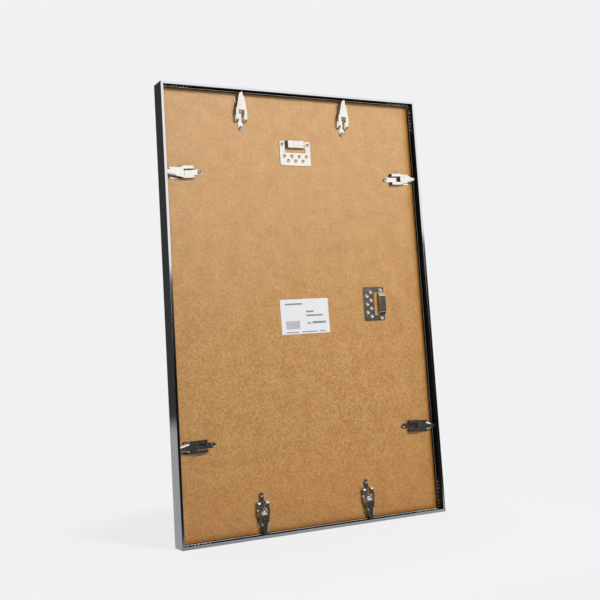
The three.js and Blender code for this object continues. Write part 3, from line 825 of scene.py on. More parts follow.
def rail_section(rails):
    """The rail's section as points of inward distance and depth, from the back bead to the front face."""
    slot_floor = rails.wall + rails.slot_depth
    slot_back = rails.bead_depth - rails.slot_undercut
    mouth_end = rails.bead_depth + rails.slot_mouth
    slot_front = mouth_end + rails.slot_undercut
    seat = seat_depth(rails)
    front = CAD_HIGH.y - CAD_LOW.y
    return [
        (0.0, 0.0),
        (rails.bead_width, 0.0),
        (rails.bead_width, rails.bead_depth),
        (slot_floor, rails.bead_depth),
        (slot_floor, slot_back),
        (rails.wall, slot_back),
        (rails.wall, slot_front),
        (slot_floor, slot_front),
        (slot_floor, mouth_end),
        (rails.lip_inset, mouth_end),
        (rails.lip_inset, seat),
        (rails.front_width, seat),
        (rails.front_width, front),
        (0.0, front),
    ]


def seat_depth(rails):
    """Depth of the seat that the glazing rests on, from the back."""
    return BACK_Y - GLAZING_FRONT_Y + rails.seat_gap


def channel_range(rails):
    """Start of the channel, top of its far lip and its end, all measured round the section."""
    lips = rails.bead_width + rails.lip_inset - 2 * (rails.wall + rails.slot_depth)
    pocket = rails.slot_undercut + rails.slot_depth
    mouth = rails.slot_mouth + 2 * rails.slot_undercut
    start = rails.bead_width
    lip_top = start + rails.bead_depth + lips + 2 * pocket + mouth
    return start, lip_top, lip_top + seat_depth(rails) - rails.bead_depth - rails.slot_mouth


def rail_mesh(rails, rail_length, along, inward, middle):
    """One mitred rail in place, from its two directions and the middle of its outer back edge."""
    section = rail_section(rails)
    bm = bmesh.new()
    weight = bm.edges.layers.float.new("bevel_weight_edge")
    chart = bm.loops.layers.uv.new("rail")
    ends = []
    for sign in (-1, 1):
        row = []
        for inset, depth in section:
            reach = sign * (rail_length / 2 - inset - rails.mitre_gap / 2)
            row.append(bm.verts.new(middle + along * reach + inward * inset - BACK * depth))
        ends.append(row)
    around = 0.0
    for i in range(len(section)):
        j = (i + 1) % len(section)
        face = bm.faces.new((ends[0][i], ends[0][j], ends[1][j], ends[1][i]))
        step = (Vector(section[j]) - Vector(section[i])).length
        for loop in face.loops:
            run = (loop.vert.co - middle).dot(along)
            loop[chart].uv = (run, around if loop.vert in (ends[0][i], ends[1][i]) else around + step)
        around += step
    bm.faces.new(ends[0])
    bm.faces.new(ends[1])
    mitre_share = rails.mitre_round / rails.edge_round
    for edge in bm.edges:
        lengthways = abs((edge.verts[1].co - edge.verts[0].co).normalized().dot(along)) > 0.9
        edge[weight] = 1.0 if lengthways else mitre_share
    bmesh.ops.recalc_face_normals(bm, faces=bm.faces)
    return closed_mesh(bm, "rail")


def leg_bend(clips):
    """Where the legs start to bend, and where the bend and the legs end before they are bent."""
    turn = clips.leg_bend_angle
    back = clips.leg_bend_radius * math.sin(turn) + clips.leg_drop * math.cos(turn)
    bend_x = clips.shoulder - clips.leg_length + back
    bend_end = bend_x - clips.leg_bend_radius * turn
    return bend_x, bend_end, bend_end - clips.leg_drop


def clip_plan(clips):
    """Half of the clip's flat outline: arrow, shoulder, leg, slot, tongue and half of the pivot hole."""
    tongue_half = clips.tongue_width / 2
    slot_half = tongue_half + clips.leg_slot
    leg_end = leg_bend(clips)[2]
    window_edge = clips.shoulder + clips.window_setback
    tip = arc(clips.reach - clips.tip_radius, clips.tip_radius, 0, 90, QUARTER_TURN_STEPS)
    side = rounded_path([
        (clips.reach - clips.tip_radius, clips.tip_radius, 0.0),
        (clips.shoulder + clips.shoulder_run, clips.arrow_half, clips.arrow_round),
        (clips.shoulder, clips.shoulder_half, clips.shoulder_round),
        (leg_end, clips.leg_end_half, clips.leg_corner),
        (leg_end, slot_half, clips.leg_corner),
        (window_edge, slot_half, 0.0),
        (window_edge, tongue_half, 0.0),
        (0.0, tongue_half, 0.0),
    ])
    heel = arc(0.0, tongue_half, 90, 180, QUARTER_TURN_STEPS)
    hole = arc(0.0, clips.pivot_hole, 180, 0, HALF_TURN_STEPS)
    return tip + side[1:-1] + heel + hole


def clip_lines(clips):
    """Side lines of the clip's under face: the plate, the tongue and the runners."""
    plate_under = clips.tip_top - clips.plate_rise - clips.sheet
    window_edge = clips.shoulder + clips.window_setback
    climb = clips.shoulder + clips.shoulder_run
    bend = clips.tongue_bend
    ease = bend / 4
    plate = [
        Vector((0.0, plate_under)),
        Vector((climb, plate_under)),
        Vector((clips.reach, clips.tip_top - clips.sheet)),
    ]
    tongue = rounded_path([
        (-clips.tongue_width, clips.run_gap, 0.0),
        (window_edge - clips.tongue_ramp, clips.run_gap, bend),
        (window_edge - bend / 2, plate_under, bend),
        (window_edge + bend, plate_under, 0.0),
    ], BEND_STEPS)
    root = clips.shoulder - clips.runner_root
    runner = rounded_path([
        (clips.runner_heel, clips.run_gap, 0.0),
        (root - clips.runner_rear_ramp, clips.run_gap, bend),
        (root - ease, plate_under, bend),
        (clips.shoulder + ease, plate_under, bend),
        (clips.shoulder + clips.runner_front_ramp, clips.run_gap, bend),
        (clips.reach - clips.runner_setback, clips.run_gap, 0.0),
    ], BEND_STEPS)
    return plate, tongue, runner


def bend_lines(line):
    """Places where a side line changes its slope."""
    return [point.x for point in line[1:-1]]


def fold_arrow_edges(bm, clips):
    """Folds the arrow's two long edges down, towards its tip."""
    start = Vector((clips.shoulder + clips.shoulder_run, clips.arrow_half, 0.0))
    end = Vector((clips.reach - clips.tip_radius, clips.tip_radius, 0.0))
    edge = (end - start).normalized()
    cut_across(bm, [clips.fold_start, clips.fold_start + clips.fold_run])
    for side in (1, -1):
        outward = Vector((-edge.y, side * edge.x, 0.0))
        on_fold = Vector((end.x, side * end.y, 0.0)) - outward * clips.fold_width
        cut(bm, on_fold, outward)
        for vert in bm.verts:
            beyond = (vert.co - on_fold).dot(outward)
            grown = clamped((vert.co.x - clips.fold_start) / clips.fold_run)
            if beyond > 0.0:
                vert.co.z -= beyond * grown * math.tan(clips.fold_angle)


def bend_legs(bm, clips):
    """Bends the two rear legs down."""
    bend_x = leg_bend(clips)[0]
    slot_half = clips.tongue_width / 2 + clips.leg_slot
    radius = clips.leg_bend_radius
    for vert in bm.verts:
        if vert.co.x < bend_x and abs(vert.co.y) > slot_half - TOUCH:
            run = bend_x - vert.co.x
            turn = min(run / radius, clips.leg_bend_angle)
            straight = run - radius * turn
            vert.co.x = bend_x - radius * math.sin(turn) - straight * math.cos(turn)
            vert.co.z -= radius * (1 - math.cos(turn)) + straight * math.sin(turn)


def clip_sheet(clips):
    """The clip's plate, legs and tongue as one bent sheet: x runs to the tip, z up from the board."""
    plate, tongue, _ = clip_lines(clips)
    plan = clip_plan(clips)
    bm = bmesh.new()
    for mirror in (1, -1):
        ring = [bm.verts.new((point.x, mirror * point.y, 0.0)) for point in plan]
        bm.faces.new(ring if mirror > 0 else ring[::-1])
    bmesh.ops.remove_doubles(bm, verts=bm.verts, dist=MERGE)
    bend_x, bend_end, _ = leg_bend(clips)
    steps = range(LEG_BEND_STEPS + 1)
    bend = [bend_end + (bend_x - bend_end) * step / LEG_BEND_STEPS for step in steps]
    cut_across(bm, bend_lines(plate) + bend_lines(tongue) + bend)
    window_edge = clips.shoulder + clips.window_setback
    tongue_half = clips.tongue_width / 2
    for vert in bm.verts:
        on_tongue = vert.co.x < window_edge + TOUCH and abs(vert.co.y) < tongue_half + TOUCH
        vert.co.z = height_on(tongue if on_tongue else plate, vert.co.x)
    fold_arrow_edges(bm, clips)
    bend_legs(bm, clips)
    return bm


def add_runners(bm, clips):
    """The two runners as bent strips that lie on the board and arch up into the plate, sunk a little."""
    runner = clip_lines(clips)[2]
    heel, toe = runner[0].x, runner[-1].x
    outer = clips.leg_end_half
    inner = outer - clips.runner_width
    front_inner = inner + clips.runner_taper
    corner = clips.runner_width * 0.3
    sink = 0.02 * MM
    corners = [
        (heel, inner, corner),
        (clips.shoulder - clips.runner_root, inner, 0.0),
        (clips.shoulder, front_inner, 0.0),
        (toe, front_inner, corner),
        (toe, outer, corner),
        (heel, outer, corner),
    ]
    for side in (1, -1):
        strip = bmesh.new()
        ring = [strip.verts.new((point.x, side * point.y, 0.0)) for point in rounded_path(corners)]
        strip.faces.new(ring if side > 0 else ring[::-1])
        cut_across(strip, bend_lines(runner))
        for vert in strip.verts:
            vert.co.z = height_on(runner, vert.co.x) - sink
        part = closed_mesh(strip, "runner")
        bm.from_mesh(part)
        bpy.data.meshes.remove(part)


def clip_mesh(clips, material):
    """One finished clip in its own frame."""
    bm = clip_sheet(clips)
    add_runners(bm, clips)
    blank = new_piece("clip_blank", closed_mesh(bm, "clip"), material)
    thickened(blank, clips.sheet)
    bevelled(blank, clips.edge_round)
    return plain_mesh(blank)


def pivot_on_board(joint):
    """Where a clip's axis meets the back of the board."""
    x, _, z = joint["pos_m"]
    return Vector((x, BOARD_Y, z))


def clip_place(joint):
    """A clip's CAD node with its turn and place: its x axis points from the pivot to the CAD clip's tip."""
    node = frame["record"]["behaviour"]["bodies"][joint["child"]][0]
    pivot = pivot_on_board(joint)
    arms = [vert.co - pivot for vert in frame["nodes"][node].data.vertices]
    tip = max(arms, key=lambda arm: math.hypot(arm.x, arm.z))
    along = Vector((tip.x, 0.0, tip.z)).normalized()
    turn = Matrix((along, BACK.cross(along), BACK)).transposed().to_4x4()
    return node, Matrix.Translation(pivot) @ turn


def hanger_holes(hangers):
    """Middles of the pierced holes."""
    rows = [
        (2, hangers.width - 2 * hangers.ear_hole_in, hangers.ear_hole_down),
        (hangers.upper_row_count, hangers.hole_pitch, hangers.upper_row_down),
        (hangers.lower_row_count, hangers.hole_pitch, hangers.lower_row_down),
    ]
    return [((i - (holes - 1) / 2) * pitch, -down) for holes, pitch, down in rows for i in range(holes)]


def hanger_outlines(hangers):
    """The plate's edge, the hook window and the pierced holes as closed outlines."""
    half = hangers.width / 2
    window = hangers.window_width / 2
    window_corner = hangers.corner / 4
    edge = rounded_path([
        (-half, 0.0, hangers.corner),
        (-half, -hangers.height, hangers.corner),
        (half, -hangers.height, hangers.corner),
        (half, 0.0, hangers.corner),
    ])
    opening = rounded_path([
        (-window, -hangers.strap_width, 0.0),
        (-window, -hangers.window_height, window_corner),
        (window, -hangers.window_height, window_corner),
        (window, -hangers.strap_width, 0.0),
    ])
    ring = arc(0.0, hangers.rim_radius, 0, 360, hangers.sides)[:-1]
    holes = [[point + Vector(middle) for point in ring] for middle in hanger_holes(hangers)]
    return [edge, opening, *holes]


def hanger_mesh(hangers, material):
    """One finished hanger in its own frame: y towards the strap edge, z up from the board."""
    bm = bmesh.new()
    for outline in hanger_outlines(hangers):
        ring = [bm.verts.new((point.x, point.y, 0.0)) for point in outline]
        for here, after in zip(ring, ring[1:] + ring[:1]):
            bm.edges.new((here, after))
    bmesh.ops.triangle_fill(bm, use_beauty=True, edges=bm.edges[:], normal=(0, 0, 1))
    cut(bm, (0, -hangers.strap_width, 0), (0, 1, 0))
    window = hangers.window_width / 2
    side = rounded_path([
        (-window - hangers.strap_bend, 0.0, 0.0),
        (-window + hangers.strap_bend / 2, 0.0, hangers.strap_bend),
        (-hangers.strap_flat / 2, hangers.strap_rise, hangers.strap_bend),
        (0.0, hangers.strap_rise, 0.0),
    ], BEND_STEPS)
    cut_across(bm, [sign * x for x in bend_lines(side) for sign in (1, -1)])
    for vert in bm.verts:
        on_strap = vert.co.y > -hangers.strap_width - TOUCH and abs(vert.co.x) < window
        vert.co.z = hangers.gap + (height_on(side, -abs(vert.co.x)) if on_strap else 0.0)
    bmesh.ops.recalc_face_normals(bm, faces=bm.faces)
    if sum(face.normal.z for face in bm.faces) < 0:
        bmesh.ops.reverse_faces(bm, faces=bm.faces)
    bmesh.ops.dissolve_limit(bm, angle_limit=FLAT, verts=bm.verts, edges=bm.edges)
    blank = new_piece("hanger_blank", closed_mesh(bm, "hanger"), material)
    thickened(blank, hangers.sheet)
    bevelled(blank, hangers.edge_round)
    return plain_mesh(blank)


def hanger_place(node, strap_edge_up):
    """The turn and place of a hanger: its y axis points to the strap edge, its z axis out of the back."""
    low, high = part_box(node)
    towards = UP if strap_edge_up else -RIGHT
    turn = Matrix((towards.cross(BACK), towards, BACK)).transposed().to_4x4()
    middle = (low + high) / 2
    place = Vector((middle.x, BOARD_Y, high.z)) if strap_edge_up else Vector((low.x, BOARD_Y, middle.z))
    return Matrix.Translation(place) @ turn


def new_tree(name, sizes):
    """An empty geometry tree, and its inputs: places, named sizes, a number of sides and a material."""
    tree = bpy.data.node_groups.new(name, "GeometryNodeTree")
    graph = Graph(tree)
    tree.interface.new_socket("Geometry", in_out="OUTPUT", socket_type="NodeSocketGeometry")
    floats = dict.fromkeys(sizes, "Float")
    kinds = {"Places": "Geometry", **floats, "Sides": "Int", "Finish": "Material"}
    for socket, kind in kinds.items():
        tree.interface.new_socket(socket, in_out="INPUT", socket_type="NodeSocket" + kind)
    values = graph.node("NodeGroupInput", {}, {}, tuple(kinds))
    return graph, dict(zip(kinds, values))


def bar(graph, sides, radius, low, high):
    """A round bar on the z axis between two heights."""
    sizes = {"Vertices": sides, "Radius": radius, "Depth": high - low}
    made = graph.node("GeometryNodeMeshCylinder", {}, sizes, "Mesh")
    lift = graph.vector(0.0, 0.0, (low + high) * 0.5)
    return graph.node("GeometryNodeTransform", {}, {"Geometry": made, "Translation": lift})


def cone(graph, sides, foot, top, low, high):
    """A round cone on the z axis, cut off flat, between two radii and two heights."""
    sizes = {"Vertices": sides, "Radius Bottom": foot, "Radius Top": top, "Depth": high - low}
    made = graph.node("GeometryNodeMeshCone", {}, sizes, "Mesh")
    lift = graph.vector(0.0, 0.0, low)
    return graph.node("GeometryNodeTransform", {}, {"Geometry": made, "Translation": lift})


def copies_on_places(graph, values, shape):
    """Copies of a shape on the places, each turned so that its z axis follows the place's facing."""
    vectors = {"data_type": "FLOAT_VECTOR"}
    facing = graph.node("GeometryNodeInputNamedAttribute", vectors, {"Name": "facing"})
    turn = graph.node("FunctionNodeAlignRotationToVector", {"axis": "Z"}, {"Vector": facing})
    smooth = graph.node("GeometryNodeSetShadeSmooth", {}, {"Geometry": shape, "Shade Smooth": True})
    placed = {"Points": values["Places"], "Instance": smooth, "Rotation": turn}
    copies = graph.node("GeometryNodeInstanceOnPoints", {}, placed)
    real = graph.node("GeometryNodeRealizeInstances", {}, {"Geometry": copies})
    finished = graph.node("GeometryNodeSetMaterial", {}, {"Geometry": real, "Material": values["Finish"]})
    graph.node("NodeGroupOutput", {}, {"Geometry": finished})


def repeated_piece(name, graph, places, inputs, material):
    """A plain mesh of a geometry tree run on places, which are pairs of a point and a facing."""
    mesh = bpy.data.meshes.new(name)
    mesh.from_pydata([point for point, _ in places], [], [])
    facing = mesh.attributes.new("facing", "FLOAT_VECTOR", "POINT")
    for i, (_, direction) in enumerate(places):
        facing.data[i].vector = direction
    seeds = new_piece(name + "_places", mesh, material)
    modifier = seeds.modifiers.new("copies", "NODES")
    modifier.node_group = graph.tree
    values = {**inputs, "Finish": material}
    for item in graph.tree.interface.items_tree:
        if item.in_out == "INPUT" and item.name in values:
            modifier[item.identifier] = values[item.name]
    made = plain_mesh(seeds)
    made.set_sharp_from_angle(angle=SHARP_EDGE)
    return new_piece(name, made, material)


def difference(graph, body, cutter):
    """What is left of a body when a cutter is taken away from it."""
    parts = {"Mesh 1": body, "Mesh 2": cutter}
    return graph.node("GeometryNodeMeshBoolean", {"operation": "DIFFERENCE"}, parts, "Mesh")


def rivet_tree():
    """A rivet: head with a funnel in its top, shank and a flange in front of the board."""
    sizes = (
        "Head radius", "Head low", "Head high", "Crown radius", "Mouth radius", "Floor radius",
        "Funnel depth", "Shank radius", "Flange radius", "Flange low", "Flange high",
    )
    graph, size = new_tree("hollow_rivet", sizes)
    sides = size["Sides"]
    high, depth = size["Head high"], size["Funnel depth"]
    head = cone(graph, sides, size["Head radius"], size["Crown radius"], size["Head low"], high)
    reach = size["Mouth radius"] * 2.0 - size["Floor radius"]
    funnel = cone(graph, sides, size["Floor radius"], reach, high - depth, high + depth)
    hollowed = difference(graph, head, funnel)
    shank = bar(graph, sides, size["Shank radius"], size["Flange high"], size["Head low"])
    flange = bar(graph, sides, size["Flange radius"], size["Flange low"], size["Flange high"])
    rivet = graph.node("GeometryNodeJoinGeometry", {}, {0: [hollowed, shank, flange]})
    copies_on_places(graph, size, rivet)
    return graph


def set_screw_tree():
    """A set screw: a round bar with a driver slot across its top."""
    graph, size = new_tree("set_screw", ("Radius", "Height", "Slot width", "Slot depth"))
    shank = bar(graph, size["Sides"], size["Radius"], 0.0, size["Height"])
    past_rim = size["Radius"] * 3.0
    block = graph.vector(past_rim, size["Slot width"], size["Slot depth"] * 2.0)
    cutter = graph.node("GeometryNodeMeshCube", {}, {"Size": block}, "Mesh")
    raised = {"Geometry": cutter, "Translation": graph.vector(0.0, 0.0, size["Height"])}
    slot = graph.node("GeometryNodeTransform", {}, raised)
    copies_on_places(graph, size, difference(graph, shank, slot))
    return graph


def rim_tree():
    """The dished rim that the punch leaves round a hanger's hole."""
    graph, size = new_tree("dished_rim", ("Hole radius", "Rim radius", "Low", "Foot", "High"))
    sides, hole, rim = size["Sides"], size["Hole radius"], size["Rim radius"]
    low, foot, high = size["Low"], size["Foot"], size["High"]
    collar = rim * 1.08
    funnel_foot = foot + (high - foot) * 0.2
    body = bar(graph, sides, collar, low, high)
    funnel = cone(graph, sides, hole, rim * 2.0 - hole, foot, high * 2.0 - foot)
    bore = bar(graph, sides, hole, low * 2.0, funnel_foot)
    dished = difference(graph, body, funnel)
    copies_on_places(graph, size, difference(graph, dished, bore))
    return graph


def peg_tree():
    """A round peg with a foot and a top: a rivet's core, a key's tooth or a plug of fibres."""
    graph, size = new_tree("peg", ("Foot radius", "Top radius", "Low", "High"))
    foot, top = size["Foot radius"], size["Top radius"]
    copies_on_places(graph, size, cone(graph, size["Sides"], foot, top, size["Low"], size["High"]))
    return graph


class POSTERFRAME_OT_rails(bpy.types.Operator):
    """Build the four mitred rails"""

    bl_idname = "posterframe.rails"
    bl_label = "Rails"

    def execute(self, context):
        rails = context.scene.poster_frame.rails
        material = polished_aluminium(rails)
        foot = BACK * BACK_Y
        middle = foot + UP * FRAME_HEIGHT / 2
        half = RIGHT * FRAME_WIDTH / 2
        sides = {
            "rail_bottom": (FRAME_WIDTH, RIGHT, UP, foot),
            "rail_top": (FRAME_WIDTH, -RIGHT, -UP, foot + UP * FRAME_HEIGHT),
            "rail_right": (FRAME_HEIGHT, UP, -RIGHT, middle + half),
            "rail_left": (FRAME_HEIGHT, -UP, RIGHT, middle - half),
        }
        for node, side in sides.items():
            rail = new_piece("polished_" + node, rail_mesh(rails, *side), material)
            bevelled(rail, rails.edge_round, by_weight=True)
            settle(rail, ROOT_BODY, "polished_aluminium", node)
        return {"FINISHED"}


class POSTERFRAME_OT_corner_keys(bpy.types.Operator):
    """Finish the corner keys and build their set screws and teeth"""

    bl_idname = "posterframe.corner_keys"
    bl_label = "Corner keys"

    def execute(self, context):
        keys = context.scene.poster_frame.keys
        # Painted shade: the keys' bodies get a near-black zinc for the shade in the channels.
        body = zinc_plate("painted_shade_key_zinc", keys.body)
        material = zinc_plate("zinc_plate", keys.metal)
        bare = zinc_plate("bare_teeth", keys.bare, keys.bare_metallic)
        places = []
        nodes = []
        for corner in CORNERS:
            dress_node("corner_key_" + corner, body)
            for screw in range(1, SCREWS_PER_KEY + 1):
                node = f"set_screw_{corner}_{screw}"
                nodes.append(node)
                places.append(self.screw_place(node))
        sizes = {
            "Radius": keys.radius,
            "Height": keys.height,
            "Slot width": keys.slot_width,
            "Slot depth": keys.slot_depth,
            "Sides": keys.sides,
        }
        screws = repeated_piece("set_screws", set_screw_tree(), places, sizes, material)
        settle(screws, ROOT_BODY, "zinc_steel", *nodes)
        tooth = {
            "Foot radius": keys.tooth_radius,
            "Top radius": keys.tooth_radius * keys.tooth_taper,
            "Low": keys.tooth_low,
            "High": keys.tooth_high,
            "Sides": keys.sides,
        }
        teeth = repeated_piece("key_teeth", peg_tree(), self.tooth_places(keys), tooth, bare)
        settle(teeth, ROOT_BODY, "zinc_steel")
        return {"FINISHED"}

    def tooth_places(self, keys):
        """Rows of teeth from each corner of the frame along both of its rails."""
        places = []
        for side in (1, -1):
            for top in (0, 1):
                corner = Vector((side * FRAME_WIDTH / 2, BACK_Y - keys.tooth_depth, top * FRAME_HEIGHT))
                inward = -side * RIGHT
                upward = (1 - 2 * top) * UP
                for i in range(keys.tooth_count):
                    along = keys.tooth_start + i * keys.tooth_pitch
                    places.append((corner + inward * along, upward))
                    places.append((corner + upward * along, inward))
        return places

    def screw_place(self, node):
        """The middle of a screw's point and the inward direction along which it stands."""
        low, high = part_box(node)
        middle = (low + high) / 2
        size = high - low
        if size.z < size.x:
            direction = UP if middle.z < FRAME_HEIGHT / 2 else -UP
        else:
            direction = RIGHT if middle.x < 0 else -RIGHT
        return middle - direction * min(size.x, size.z) / 2, direction


class POSTERFRAME_OT_sheets(bpy.types.Operator):
    """Finish the back board, the blank insert and the glazing"""

    bl_idname = "posterframe.sheets"
    bl_label = "Sheets"

    def execute(self, context):
        sheets = context.scene.poster_frame.sheets
        dress_node("back_board", hardboard(sheets.board_dark, sheets.board_light))
        dress_node("paper_insert", plain_paper("insert_paper", sheets.paper))
        dress_node("glazing_sheet", clear_acrylic(sheets.gloss, sheets.clear))
        return {"FINISHED"}


class POSTERFRAME_OT_label(bpy.types.Operator):
    """Finish the paper label"""

    bl_idname = "posterframe.label"
    bl_label = "Label"

    def execute(self, context):
        dress_node("label", ruled_label(context.scene.poster_frame.sheets))
        return {"FINISHED"}


class POSTERFRAME_OT_clips(bpy.types.Operator):
    """Build the turn clips"""

    bl_idname = "posterframe.clips"
    bl_label = "Turn clips"

    def execute(self, context):
        clips = context.scene.poster_frame.clips
        material = nickel_plate("nickel_plate", clips.metal, clips.haze)
        shape = clip_mesh(clips, material)
        for joint in frame["joints"]:
            node, place = clip_place(joint)
            clip = placed_copy("bent_" + node, shape, place, material)
            settle(clip, joint["child"], "plated_steel", node)
        bpy.data.meshes.remove(shape)
        return {"FINISHED"}


class POSTERFRAME_OT_rivets(bpy.types.Operator):
    """Build the hollow rivets and their cores"""

    bl_idname = "posterframe.rivets"
    bl_label = "Rivets"

    def execute(self, context):
        rivets = context.scene.poster_frame.rivets
        clips = context.scene.poster_frame.clips
        places = [(pivot_on_board(joint), BACK) for joint in frame["joints"]]
        head_low = clips.run_gap + clips.sheet + rivets.head_gap
        sizes = {
            "Head radius": rivets.head_radius,
            "Head low": head_low,
            "Head high": head_low + rivets.head_height,
            "Crown radius": rivets.crown_radius,
            "Mouth radius": rivets.mouth_radius,
            "Floor radius": rivets.floor_radius,
            "Funnel depth": rivets.funnel_depth,
            "Shank radius": rivets.shank_radius,
            "Flange radius": rivets.flange_radius,
            "Flange low": -rivets.flange_depth - rivets.flange_thickness,
            "Flange high": -rivets.flange_depth,
            "Sides": rivets.sides,
        }
        piece = repeated_piece("hollow_rivets", rivet_tree(), places, sizes, rolled_steel(rivets.metal))
        nodes = [joint["child"].replace("turn_clip_", "rivet_") for joint in frame["joints"]]
        settle(piece, ROOT_BODY, "plated_steel", *nodes)
        floor = head_low + rivets.head_height - rivets.funnel_depth
        core_radius = rivets.floor_radius * rivets.core_fit
        core = {
            "Foot radius": core_radius,
            "Top radius": core_radius * rivets.core_taper,
            "Low": floor - rivets.core_height,
            "High": floor + rivets.core_height,
            "Sides": rivets.sides,
        }
        nickel = bpy.data.materials["nickel_plate"]
        cores = repeated_piece("rivet_cores", peg_tree(), places, core, nickel)
        settle(cores, ROOT_BODY, "plated_steel")
        return {"FINISHED"}


class POSTERFRAME_OT_hangers(bpy.types.Operator):
    """Build the two hangers, the dished rims of their holes and the torn fibre behind them"""

    bl_idname = "posterframe.hangers"
    bl_label = "Hangers"

    def execute(self, context):
        hangers = context.scene.poster_frame.hangers
        material = nickel_plate("hanger_plate", hangers.metal, hangers.haze)
        shape = hanger_mesh(hangers, material)
        places = []
        for node, strap_edge_up in (("hanger_upright", True), ("hanger_sideways", False)):
            place = hanger_place(node, strap_edge_up)
            hanger = placed_copy("stamped_" + node, shape, place, material)
            settle(hanger, ROOT_BODY, "plated_steel", node)
            places += [(place @ Vector((x, y, 0.0)), BACK) for x, y in hanger_holes(hangers)]
        sizes = {
            "Hole radius": hangers.hole_radius,
            "Rim radius": hangers.rim_radius,
            "Low": -hangers.rim_length,
            "Foot": hangers.gap,
            "High": hangers.gap + hangers.sheet - hangers.edge_round / 2,
            "Sides": hangers.sides,
        }
        rims = repeated_piece("dished_rims", rim_tree(), places, sizes, material)
        settle(rims, ROOT_BODY, "plated_steel")
        plug_radius = hangers.hole_radius + hangers.edge_round / 2
        plug = {
            "Foot radius": plug_radius,
            "Top radius": plug_radius,
            "Low": -hangers.rim_length,
            "High": hangers.plug_height,
            "Sides": hangers.sides,
        }
        plugs = repeated_piece("fibre_plugs", peg_tree(), places, plug, bare_fibre(hangers.plug))
        settle(plugs, ROOT_BODY, "hardboard")
        bpy.data.meshes.remove(shape)
        return {"FINISHED"}


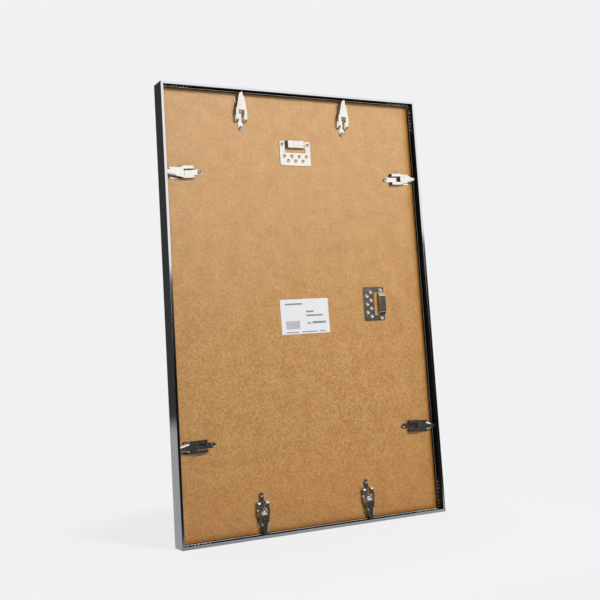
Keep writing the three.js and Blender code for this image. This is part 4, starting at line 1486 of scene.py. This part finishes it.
class POSTERFRAME_OT_stage(bpy.types.Operator):
    """Set up the camera, the floor, the lamp and the surroundings"""

    bl_idname = "posterframe.stage"
    bl_label = "Stage"

    def execute(self, context):
        stage = context.scene.poster_frame.stage
        context.scene.view_settings.view_transform = "Standard"
        self.add_camera(context, stage)
        self.add_floor(stage)
        self.add_lamp(stage)
        self.add_surroundings(context, stage)
        return {"FINISHED"}

    def add_camera(self, context, stage):
        """A camera that looks at the frame's back."""
        lens = bpy.data.cameras.new("back_view")
        lens.sensor_width = stage.sensor
        lens.lens = stage.lens
        lens.shift_x = stage.shift_x
        lens.shift_y = stage.shift_y
        camera = bpy.data.objects.new("back_view", lens)
        camera.location = stage.camera_place
        camera.rotation_euler = stage.camera_turn
        context.scene.collection.objects.link(camera)
        context.scene.camera = camera

    def add_floor(self, stage):
        """A pale floor that shows the lamp's light and shade only near the frame."""
        reach = stage.floor_reach
        mesh = bpy.data.meshes.new("floor")
        corners = [(-reach, -reach, 0), (reach, -reach, 0), (reach, reach, 0), (-reach, reach, 0)]
        mesh.from_pydata(corners, [], [(0, 1, 2, 3)])
        material, graph = new_material("pale_floor")
        across, deep, _ = graph.parts(graph.place())
        away = graph.node("ShaderNodeMath", {"operation": "SQRT"}, {0: across * across + deep * deep})
        seen = graph.node("ShaderNodeLightPath", output="Is Camera Ray")
        near, far = stage.shadow_near, stage.shadow_far
        even = graph.ramp(away, near, far, 1.0 - stage.shadow_share, 1.0)
        matt = graph.node("ShaderNodeBsdfDiffuse", {}, {"Color": opaque(stage.backdrop)})
        lifted = scaled(stage.backdrop, stage.floor_lift)
        pale = graph.blend(graph.ramp(away, near, far), lifted, stage.backdrop)
        glow = graph.node("ShaderNodeEmission", {}, {"Color": pale})
        mixed = graph.node("ShaderNodeMixShader", {}, {0: seen * even, 1: matt, 2: glow})
        graph.node("ShaderNodeOutputMaterial", {}, {"Surface": mixed})
        floor = new_piece("pale_floor", mesh, material)
        floor.visible_glossy = False

    def add_lamp(self, stage):
        """A soft lamp on the frame's back."""
        light = bpy.data.lights.new("key_softbox", "AREA")
        light.shape = "RECTANGLE"
        light.size = stage.key_width
        light.size_y = stage.key_height
        light.energy = stage.key_power
        lamp = bpy.data.objects.new("key_softbox", light)
        lamp.location = stage.key_place
        aim = UP * FRAME_HEIGHT / 2 - lamp.location
        lamp.rotation_euler = aim.to_track_quat("-Z", "Y").to_euler()
        lamp.visible_glossy = False
        bpy.context.scene.collection.objects.link(lamp)

    def add_surroundings(self, context, stage):
        """Plain for the camera, soft and even for matt faces, and a studio for mirroring faces."""
        world = bpy.data.worlds.new("studio")
        world.use_nodes = True
        world.cycles.sampling_method = "NONE"
        graph = Graph(world.node_tree)
        right, back, up = graph.parts(graph.node("ShaderNodeTexCoord", output="Generated"))
        camera, glossy, through = graph.node(
            "ShaderNodeLightPath", {}, {}, ("Is Camera Ray", "Is Glossy Ray", "Is Transmission Ray")
        )
        full_front = -0.5
        fill = graph.ramp(back, 0.0, full_front, stage.ambient, stage.front_fill)
        even = graph.vector(fill, fill, fill)
        level = self.mirrored_studio(graph, stage, right, back, up)
        mirrored = graph.vector(level, level, level * stage.softbox_tint)
        tint = graph.blend(camera + through, graph.blend(glossy, even, mirrored), stage.backdrop)
        glow = graph.node("ShaderNodeBackground", {}, {"Color": tint})
        graph.node("ShaderNodeOutputWorld", {}, {"Surface": glow})
        context.scene.world = world

    def mirrored_studio(self, graph, stage, right, back, up):
        """A softbox above, a dim band and a paler floor. Edges are heights on a ball of radius 1."""
        softbox_front, softbox_back, softbox_aside = 0.42, 0.102, 0.45
        softbox_slant, slant_centre = 0.09, 0.42
        softbox_fade_low, softbox_fade_high = -0.006, 0.008
        floor_front, floor_back, floor_slant = 0.06, 0.174, 0.152
        floor_fade = 0.01
        foot_edge, foot_end = -0.8, -0.6
        side_fade = 0.4
        aside_start, aside_end = 0.7, 0.85
        glow_power = 12.0
        behind = graph.ramp(back, -side_fade, side_fade)
        aside = behind * graph.ramp(right, aside_start, aside_end)
        slant = -softbox_slant * behind * (right + slant_centre)
        softbox_edge = graph.ramp(behind, 0.0, 1.0, softbox_front, softbox_back)
        softbox_edge = softbox_edge + softbox_aside * aside + slant
        floor_edge = -floor_front - behind * (floor_back + floor_slant * right)
        softbox = graph.ramp(up - softbox_edge, softbox_fade_low, softbox_fade_high)
        floor = graph.ramp(up - floor_edge, floor_fade, -floor_fade)
        climb = graph.ramp(up, floor_edge, softbox_edge)
        dusk = graph.ramp(behind, 0.0, 1.0, stage.dusk_front, stage.dusk_back)
        dusk = dusk + stage.dusk_glow * behind * climb ** glow_power
        floor_level = graph.ramp(up, foot_edge, foot_end, stage.mirrored_foot, stage.mirrored_floor)
        level = dusk + floor * (floor_level - dusk)
        return level + softbox * (stage.softbox_level - level)


class POSTERFRAME_PT_sidebar(bpy.types.Panel):
    """Lists the steps that dress the poster frame"""

    bl_label = "Poster Frame"
    bl_idname = "POSTERFRAME_PT_sidebar"
    bl_space_type = "VIEW_3D"
    bl_region_type = "UI"
    bl_category = "Poster Frame"

    def draw(self, context):
        for operator in OPERATORS:
            self.layout.operator(operator.bl_idname)


SETTINGS = (
    RailSettings,
    ClipSettings,
    RivetSettings,
    HangerSettings,
    KeySettings,
    SheetSettings,
    StageSettings,
    PosterFrameSettings,
)
OPERATORS = (
    POSTERFRAME_OT_rails,
    POSTERFRAME_OT_corner_keys,
    POSTERFRAME_OT_sheets,
    POSTERFRAME_OT_label,
    POSTERFRAME_OT_clips,
    POSTERFRAME_OT_rivets,
    POSTERFRAME_OT_hangers,
    POSTERFRAME_OT_stage,
)
CLASSES = (*SETTINGS, *OPERATORS, POSTERFRAME_PT_sidebar)


def register():
    """Makes the settings, the steps and the panel known to Blender."""
    for each in CLASSES:
        bpy.utils.register_class(each)
    bpy.types.Scene.poster_frame = PointerProperty(type=PosterFrameSettings)


def unregister():
    """Takes back what register made known."""
    del bpy.types.Scene.poster_frame
    for each in reversed(CLASSES):
        bpy.utils.unregister_class(each)


def main():
    """Dresses the frame step by step."""
    register()
    bpy.ops.posterframe.rails()
    bpy.ops.posterframe.corner_keys()
    bpy.ops.posterframe.sheets()
    bpy.ops.posterframe.label()
    bpy.ops.posterframe.clips()
    bpy.ops.posterframe.rivets()
    bpy.ops.posterframe.hangers()
    bpy.ops.posterframe.stage()


if __name__ == "__main__":
    main()
